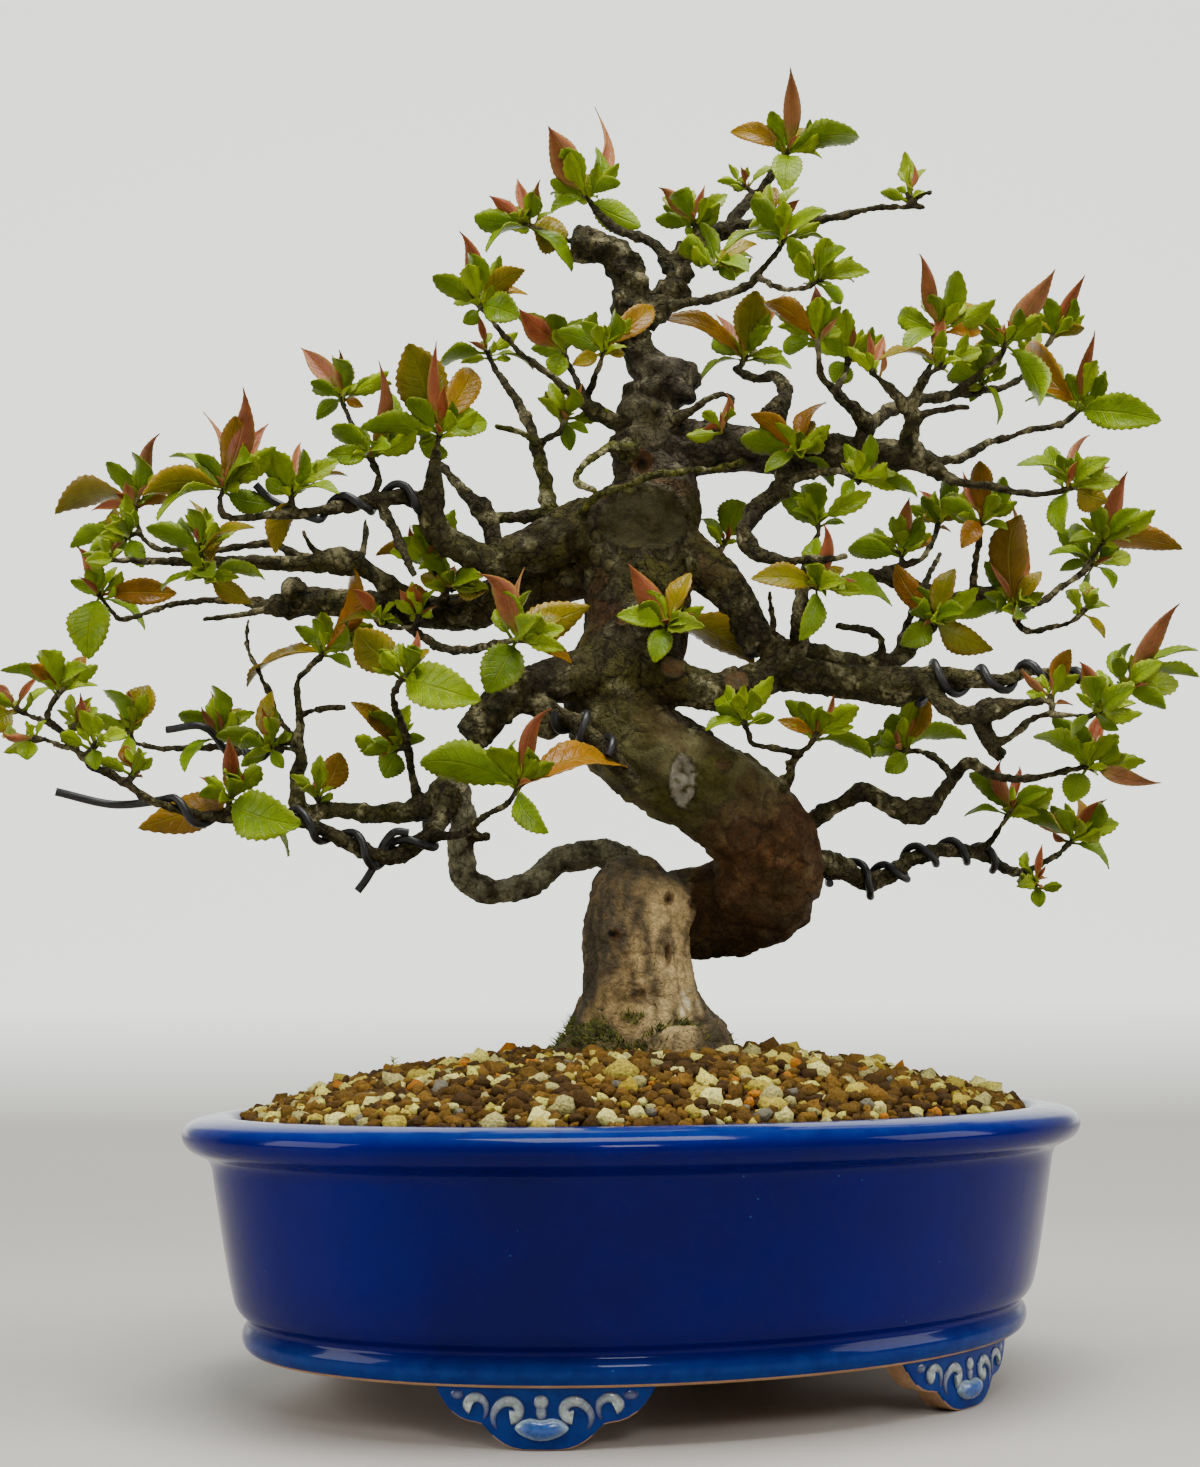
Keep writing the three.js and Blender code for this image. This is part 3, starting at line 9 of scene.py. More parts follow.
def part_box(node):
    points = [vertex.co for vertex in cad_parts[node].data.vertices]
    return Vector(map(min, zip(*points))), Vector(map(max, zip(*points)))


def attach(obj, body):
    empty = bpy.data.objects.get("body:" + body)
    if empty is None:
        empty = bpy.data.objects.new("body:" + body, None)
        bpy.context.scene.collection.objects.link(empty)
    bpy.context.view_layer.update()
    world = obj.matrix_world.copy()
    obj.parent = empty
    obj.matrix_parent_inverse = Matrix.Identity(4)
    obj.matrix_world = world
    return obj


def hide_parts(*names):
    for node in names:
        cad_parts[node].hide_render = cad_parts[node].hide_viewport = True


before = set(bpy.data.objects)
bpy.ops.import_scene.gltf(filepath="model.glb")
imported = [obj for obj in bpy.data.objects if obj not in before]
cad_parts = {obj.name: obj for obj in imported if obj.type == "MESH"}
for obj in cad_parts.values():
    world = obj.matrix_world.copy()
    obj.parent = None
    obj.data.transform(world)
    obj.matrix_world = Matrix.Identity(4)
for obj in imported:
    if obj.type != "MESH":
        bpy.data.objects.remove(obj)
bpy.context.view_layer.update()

# Drawing units are millimetres. Points (u, v) lie on the upright plane through the middle of the
# pot, as the eye sees them, and each gets a depth behind that plane along its own line of sight.
MM = 0.001
EYE = Vector((-14.5, -780, 135))
EYE_DISTANCE = 780
DEPTH_SPREAD = 1.6
POT_HALF_LENGTH = 141
POT_HALF_DEPTH = 109
POT_TURN = math.radians(24)
SOIL_REACH = 7
SOIL_EDGE = 96.5
SOIL_RISE = 22.5
WIRE_RADIUS = 1.5
TUBE_ROUNDNESS = 3

pot_low, pot_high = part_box("pot")
SHIFT = Vector(((pot_low.x + pot_high.x) / 2, (pot_low.y + pot_high.y) / 2, 0))


def sight(u, v, depth):
    """The point that the eye sees at (u, v), with its depth behind the upright plane."""
    reach = (EYE_DISTANCE + depth) / EYE_DISTANCE
    return EYE + (Vector((u, 0, v)) - EYE) * reach


def draw(seed):
    """A repeatable draw between 0 and 1."""
    wave = math.sin(seed * 12.9898 + 4.1414) * 43758.5453
    return wave - math.floor(wave)


def blend(a, b, share):
    """The value that lies the given share of the way from a to b."""
    return a + (b - a) * share


def step(low, high, value):
    """A soft step from 0 at low to 1 at high."""
    share = min(1, max(0, (value - low) / (high - low)))
    return share * share * (3 - 2 * share)


def filled(points):
    """Fill in the radii and depths that a list of points leaves out."""
    whole = [list(point) + [None] * (4 - len(point)) for point in points]
    for column in (2, 3):
        known = [i for i, point in enumerate(whole) if point[column] is not None]
        for start, end in zip(known, known[1:]):
            for i in range(start + 1, end):
                share = (i - start) / (end - start)
                whole[i][column] = blend(whole[start][column], whole[end][column], share)
    return whole


def smooth_run(points, radii, spacing=1.2):
    """A smooth centripetal run through the points: a list of (place, radius)."""
    ends = [points[0] * 2 - points[1], *points, points[-1] * 2 - points[-2]]
    run = []
    for i in range(len(points) - 1):
        p0, p1, p2, p3 = ends[i:i + 4]
        d0, d1, d2 = (max(1e-4, (b - a).length) ** 0.5 for a, b in ((p0, p1), (p1, p2), (p2, p3)))
        leave = ((p1 - p0) / d0 - (p2 - p0) / (d0 + d1) + (p2 - p1) / d1) * d1
        arrive = ((p2 - p1) / d1 - (p3 - p1) / (d1 + d2) + (p3 - p2) / d2) * d1
        count = max(1, round((p2 - p1).length / spacing))
        for k in range(count):
            t = k / count
            place = p1 + leave * t + (3 * (p2 - p1) - 2 * leave - arrive) * t ** 2
            place += (2 * (p1 - p2) + leave + arrive) * t ** 3
            run.append((place, blend(radii[i], radii[i + 1], t)))
    run.append((points[-1].copy(), radii[-1]))
    return run


def grown_run(points, deepen=DEPTH_SPREAD):
    """The run of a limb or stem that is listed as (u, v, radius, depth) points."""
    whole = filled(points)
    centres = [sight(u, v, depth * deepen) for u, v, radius, depth in whole]
    return smooth_run(centres, [point[2] for point in whole])


def nearest_seat(run, u, v):
    """The place and radius on a run that the eye sees nearest to (u, v)."""
    best, best_distance = run[0], math.inf
    for seat in run:
        reach = EYE_DISTANCE / (EYE_DISTANCE + seat[0].y)
        seen = (seat[0] - EYE) * reach + EYE
        distance = math.hypot(seen.x - u, seen.z - v)
        if distance < best_distance:
            best, best_distance = seat, distance
    return best


def piece(name, mesh, materials, nodes, shade=True):
    """Make an object of a mesh drawn in millimetres, and give it its body, slot and nodes."""
    mesh.transform(Matrix.Translation(SHIFT) @ Matrix.Scale(MM, 4))
    made = bpy.data.objects.new(name, mesh)
    bpy.context.scene.collection.objects.link(made)
    for material in materials:
        mesh.materials.append(material)
    if shade:
        mesh.polygons.foreach_set("use_smooth", [True] * len(mesh.polygons))
    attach(made, "root")
    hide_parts(*nodes)
    return made


def mesh_of(bed, name):
    """The mesh of a bmesh, which is given up."""
    mesh = bpy.data.meshes.new(name)
    bed.to_mesh(mesh)
    bed.free()
    return mesh


def tubes(name, runs):
    """Closed tubes round the runs, as one mesh, with the radius each run gives."""
    curve = bpy.data.curves.new(name, "CURVE")
    curve.dimensions = "3D"
    curve.bevel_depth = 1
    curve.bevel_resolution = TUBE_ROUNDNESS
    curve.use_fill_caps = True
    for run in runs:
        spline = curve.splines.new("POLY")
        spline.points.add(len(run) - 1)
        for point, (place, radius) in zip(spline.points, run):
            point.co = (*place, 1)
            point.radius = radius
    holder = bpy.data.objects.new(name, curve)
    bpy.context.scene.collection.objects.link(holder)
    mesh = settled(holder)
    bpy.data.objects.remove(holder)
    bpy.data.curves.remove(curve)
    return mesh


def settled(holder):
    """The mesh of an object with its modifiers applied."""
    graph = bpy.context.evaluated_depsgraph_get()
    graph.update()
    return bpy.data.meshes.new_from_object(holder.evaluated_get(graph), depsgraph=graph)


def modified(mesh, *steps):
    """Apply modifiers, each a type and its settings, to a mesh."""
    holder = bpy.data.objects.new("holder", mesh)
    bpy.context.scene.collection.objects.link(holder)
    for kind, settings in steps:
        modifier = holder.modifiers.new(kind, kind)
        for key, value in settings.items():
            setattr(modifier, key, value)
    done = settled(holder)
    bpy.data.objects.remove(holder)
    return done


def paint(mesh, colour_at):
    """Give each vertex its own base colour, from a function of its place.

    A fourth value, where the function gives one, is the strength of the surface's roughness.
    """
    layer = mesh.color_attributes.new("tone", "FLOAT_COLOR", "POINT")
    shades = []
    for vertex in mesh.vertices:
        shades.extend((*colour_at(vertex.co), 1)[:4])
    layer.data.foreach_set("color", shades)


# Leaves: each is named by its colour and gives the (u, v) of its tip and the width seen
def red(u, v, width=4):
    return "red", u, v, width


def bronze(u, v, width=5):
    return "bronze", u, v, width


def olive(u, v, width=5):
    return "olive", u, v, width


def green(u, v, width=5):
    return "green", u, v, width


def stem(name, *points):
    """A young stem through points, each (u, v, radius, depth) or less where the rest is filled in."""
    return {"stem": name, "points": points}


def rosette(seat, u, v, lift, *leaves):
    """A rosette stands on the named limb or stem, nearest to (u, v), with its depth moved by lift."""
    return {"seat": seat, "u": u, "v": v, "lift": lift, "leaves": leaves}


LIMBS = [
    ("base", [1.5, 102, 36, 0], [1.5, 113, 35.5, 0], [1, 121, 33, 0], [0, 127, 29, 0],
        [-0.5, 133, 25, -1], [-1, 140, 22.2, -2], [-1.5, 150, 20.8, -3], [-1.8, 164, 20.3, -3],
        [-1, 174, 19, -2], [0.5, 180, 15.8, 0], [3, 184, 10, 0], [5, 186.5, 4, 2]),
    ("second", [0, 166, 16, 10], [12, 168, 17.5, 14], [27, 170, 18.5, 16], [39, 173, 20, 12],
        [47, 181, 20.5, 6]),
    ("trunk", [49, 183, 19.5, 4], [47, 196, 19.5, -3], [36, 208, 19.5, -9], [19, 219, 19.5, -13],
        [2, 230, 19, -13], [-9, 243, 19, -10], [-8, 256, 20, -8], [-1, 270, 20, -6], [0, 285, 20.5, -4],
        [0, 300, 21.7, -2], [3, 314, 21.7, 0], [7, 327, 19, 1], [7, 338, 14.5, 1], [5, 351, 11.4, 0],
        [5.5, 361, 12.4, 0], [8.5, 370, 10.8, 0], [5, 378, 8.2, 0], [1.5, 384, 6.6, 0],
        [-1.5, 391, 7, 0], [-2, 401, 7.3, 0], [-1, 411, 7, 0], [-5, 420, 7, 0], [-14, 426, 6.5, 0],
        [-24, 428, 6, -1]),
    ("top", [3, 396, 6, 0], [13, 406, 6, 1], [17, 413, 5, 2], [20, 422, 5, 4], [30, 430, 4.5, 7],
        [37, 433, 3.8, 8]),
    ("top_side", [6, 400, 3, 0], [20, 403, 2.3], [34, 406, 2], [46, 410.5, 1.9, -10]),
    ("top_left", [14, 416, 3, 2], [9, 426, 2.5], [1, 430.5, 2.3], [-7, 433, 2.1], [-15, 441, 2, 9]),
    ("left_high", [1, 353, 5, 0], [-9, 357, 4], [-16, 361, 3.5, -4], [-22, 365.5, 2.4], [-29, 372, 1.9],
        [-37, 378.5, 1.7], [-43.5, 383.5, 1.5], [-52, 393, 1.3, -16]),
    ("mossy_up", [-30, 313, 4, -2], [-34, 328, 3.4], [-37, 343.5, 3, 4]),
    ("loop", [2, 344, 2.5, -5], [-9, 346.5, 2], [-18, 341, 1.9, -18], [-23, 334, 1.8],
        [-15, 329, 1.5, -22]),
    ("crossing", [-24, 312, 2.5, -5], [-18, 325, 2, -12], [-5, 331, 1.8, -15], [10, 336, 1.7, -15],
        [25, 337, 1.6, -13], [42, 340, 1.5, -8]),
    ("left_mid", [-5, 314, 13, -2], [-20, 313.5, 12], [-32, 309.5, 10.5], [-45, 305, 8.8, -7],
        [-56, 302.5, 6.3], [-66, 307, 5.6, -10], [-75, 313, 5.5], [-78, 321, 5.3], [-77, 329, 4.6, -14],
        [-77, 338, 2.8], [-76, 346, 2, -18]),
    ("left_wired", [-78, 326, 4, -13], [-88, 327.5, 3.4], [-99, 326.5, 3.2, -18], [-112, 324, 2.8],
        [-124, 322, 2.3, -23]),
    ("hanging", [-97, 325, 2.3, -17], [-92, 315, 2.2], [-88, 305, 2, -22], [-84, 297, 1.6, -24]),
    ("to_l7", [-100, 326, 2, -18], [-98, 335, 1.7], [-99.5, 340, 1.5, -12]),
    ("knobbed", [-52, 306, 4, -4], [-58, 321, 4.3, -2], [-66, 330, 2.8], [-75, 341, 1.6, 6]),
    ("left_low", [-8, 303, 13, 0], [-22, 299, 11.5, 2], [-38, 292.5, 10], [-50, 289, 9, 6],
        [-61, 284, 7.8], [-78, 283, 6.4, 10], [-100, 286, 5.7], [-124, 287.5, 5.9, 18]),
    ("left_low_end", [-122, 287.5, 5, 17], [-137, 285.5, 4.6, 20], [-147, 287.5, 2.4],
        [-160, 288.5, 1.8], [-178, 286, 1.5], [-190, 282, 1.4, 28]),
    ("left_low_thin", [-137, 285, 1.7, 19], [-151, 282.5, 1.4], [-164, 281, 1.3, 14]),
    ("left_up", [-78, 283, 5, 8], [-90, 290, 4.6], [-103, 299.5, 4.3, 2], [-113, 303, 5.2, 0],
        [-126, 302, 3.4], [-146, 303, 3, -6]),
    ("left_up_thin", [-115, 303, 2.2, 1], [-131, 306.5, 2], [-139, 310, 1.9], [-154, 308.5, 1.7, 6]),
    ("spur_a", [-105, 301, 1.9, 2], [-103, 311, 1.6], [-103, 319, 1.2, 8]),
    ("stub", [-18, 259, 11, -12], [-34, 256, 8.5, -16], [-46, 251.5, 7.5], [-55, 245, 7.3],
        [-63, 235, 6.8, -22]),
    ("front_limb", [-46, 249, 4, -19], [-33, 245, 4, -21], [-20, 237, 4, -23], [-11, 228, 3.9, -23],
        [-2, 217, 3, -19]),
    ("to_c7", [-93, 284, 2.6, 12], [-83, 275, 2.2], [-74, 269.5, 2.1], [-62, 268.5, 2],
        [-54, 271, 1.7, -28]),
    ("low_left", [4, 182, 6, 10], [-10, 190.5, 5.6, 14], [-21, 191, 5.5, 12], [-31, 188, 5.4],
        [-38, 182.5, 5.2, 9], [-45, 178.5, 5], [-55, 178, 5, 5], [-64, 181, 5.1], [-67, 190, 5.2],
        [-65.5, 203, 5.2, 1], [-70, 212, 5.6, 0]),
    ("low_a", [-73, 212, 5.5, 0], [-84, 208, 4.6], [-98, 206.5, 4.2], [-112, 208.5, 3.8],
        [-125, 208, 3.8, 10], [-128, 217, 3.5], [-127, 228, 2.8], [-127, 240, 2.1], [-128, 250, 1.7],
        [-128, 258, 1.4, 14]),
    ("low_b", [-72, 210, 4.5, -2], [-77, 200, 4.2, -8], [-85, 194, 3.9], [-93, 190.5, 3.6, -12],
        [-103, 193.5, 3.4], [-114, 198.5, 2.9, -16], [-126, 204, 2.5, -18], [-150, 205.5, 2.2],
        [-170, 208, 2], [-186, 214, 1.8, -26]),
    ("dead_up", [-129, 234, 1.8, 12], [-136, 245, 1.6], [-141, 258, 1.4], [-147, 270, 1.2],
        [-147, 281, 1, 26]),
    ("to_right", [-128, 244, 1.8, 13], [-119, 246.5, 1.6], [-110, 247, 1.4, 6]),
    ("to_b6", [-128, 233, 2.2, 12], [-137, 234, 1.9], [-145, 230, 1.8], [-154, 233, 1.7, 22]),
    ("to_d2", [-82, 209, 2.5, 1], [-85, 222, 2, -2], [-87, 235, 1.8, -8], [-91, 246, 1.6, -16]),
    ("to_d1", [-78, 198.5, 2.4, -8], [-67, 199, 1.7, -16], [-57, 206, 1.5], [-49, 210, 1.4, -36]),
    ("right_high", [8, 344, 12, 1], [24, 345.5, 10.5], [38, 345, 9, -4], [60, 343, 8],
        [76, 343, 7.5, -8], [91, 342, 6.8], [104, 342, 5.6, -13], [111, 339, 4, -14],
        [117, 334, 2.9, -15]),
    ("up_a", [50, 347, 4, -3], [53.5, 359, 5, 0], [57.5, 367, 3.4, 4], [54, 373.5, 2.6, 9],
        [46, 373, 2.2], [38, 377, 1.8, 20]),
    ("up_b", [86, 346, 4.2, -11], [88, 355, 4, -15], [83, 361.5, 3, -19]),
    ("up_c", [88, 352, 3.3, -13], [95, 359, 2.9, -6], [109, 364, 2.6], [123, 366, 2.4, 12]),
    ("up_d", [104, 344, 4.5, -14], [105, 353, 4, -20]),
    ("up_e", [104, 350, 2.2, -18], [109, 357.5, 1.8], [119, 360.5, 1.5], [128, 361, 1.2, -26]),
    ("to_e1", [106, 346, 3, -12], [112, 342, 2.4], [122, 340.5, 2.2], [133, 346, 2], [148, 351, 1.7],
        [163, 354, 1.5, 8]),
    ("under", [57, 338, 4.6, -8], [56, 331, 4.4, -13], [50, 325, 4.2], [43, 319.5, 4, -16],
        [41, 312, 3.8], [45, 305, 3.4, -20], [55, 302, 2.4], [68, 302, 1.8], [80, 303.5, 1.6, -28]),
    ("to_e22", [57, 333, 2.5, -12], [68, 335.5, 2], [78, 336.5, 1.7, -24]),
    ("right_mid", [18, 304, 11, -3], [27, 298, 9.3, -5], [35, 290, 8, -7], [41, 279, 7.3],
        [47, 268, 7, -10]),
    ("right_collar", [6, 257, 10, -10], [22, 253, 7.6, -14], [35, 251, 7], [45, 256, 7, -12],
        [54, 259, 7, -11], [66, 257, 6.6], [80, 255, 6.5, -14], [96, 253.3, 7.4],
        [110, 255.5, 5.2, -22], [122, 256, 3.8], [135, 255, 2.5, -28], [149, 258.5, 1.9],
        [164, 255.5, 1.7, -32], [178, 251.5, 1.5, -34]),
    ("right_upper", [47, 270, 5.5, -9], [56, 268.5, 4.4], [70, 265, 4.2, -4], [84, 262, 4.1, 1],
        [98, 264, 4, 5], [106, 273, 4], [114, 282, 3.8, 10], [126, 288, 3.4], [143, 287.5, 2.8, 10]),
    ("to_e20", [60, 266, 4, -8], [61, 275, 4, -14], [62, 285, 3.5, -22]),
    ("bent_twig", [91, 261, 2.3, 3], [91.5, 272, 2, 0], [83, 275.5, 1.8], [75, 276.5, 1.4, -8]),
    ("back_twig", [96, 262, 2.2, 4], [103, 280, 1.8], [110, 295, 1.6], [115, 304, 1.2, 30]),
    ("back_limb", [119, 285, 3.4, 10], [105, 291.5, 3.2, 6], [94, 294.5, 2.8], [88, 297, 2.3, 0]),
    ("to_e15", [127, 288, 2, 10], [128, 300, 1.8, 4], [130, 309, 1.5, -2]),
    ("under_right", [108, 254, 4, -22], [115, 246, 3.6, -27], [123, 242, 3.6], [131.5, 243.7, 4.4, -34],
        [145, 246.5, 2.2], [152, 247.5, 1.8, -40]),
    ("under_stub", [128, 242, 3.2, -31], [130, 233.5, 3.1], [136, 226, 2.8, -26]),
    ("to_g1", [46, 208, 4, -6], [56, 219, 2.6, -14], [56, 225, 2.1, -18]),
    ("to_g2", [58, 200, 5, 0], [69, 205.5, 3.6, -4], [78, 211.5, 3.6], [85, 213.5, 3.8, -8],
        [92, 209, 3.8], [102.5, 205.8, 5.1, -10], [110, 209.5, 3.6], [117, 218.5, 2.9, -14],
        [124, 224.5, 2.8], [131, 219.5, 2.1], [141, 218, 1.8], [152, 219, 1.6], [160, 221, 1.4, -26]),
    ("to_g3", [62, 188, 6, 8], [75, 185, 4.7, 10], [83, 180.5, 4.3], [91, 181, 4],
        [103, 189.5, 3.6, 16], [120, 191, 3.1, 20], [129, 189, 2.5], [136, 183.5, 2.1, 26]),
]

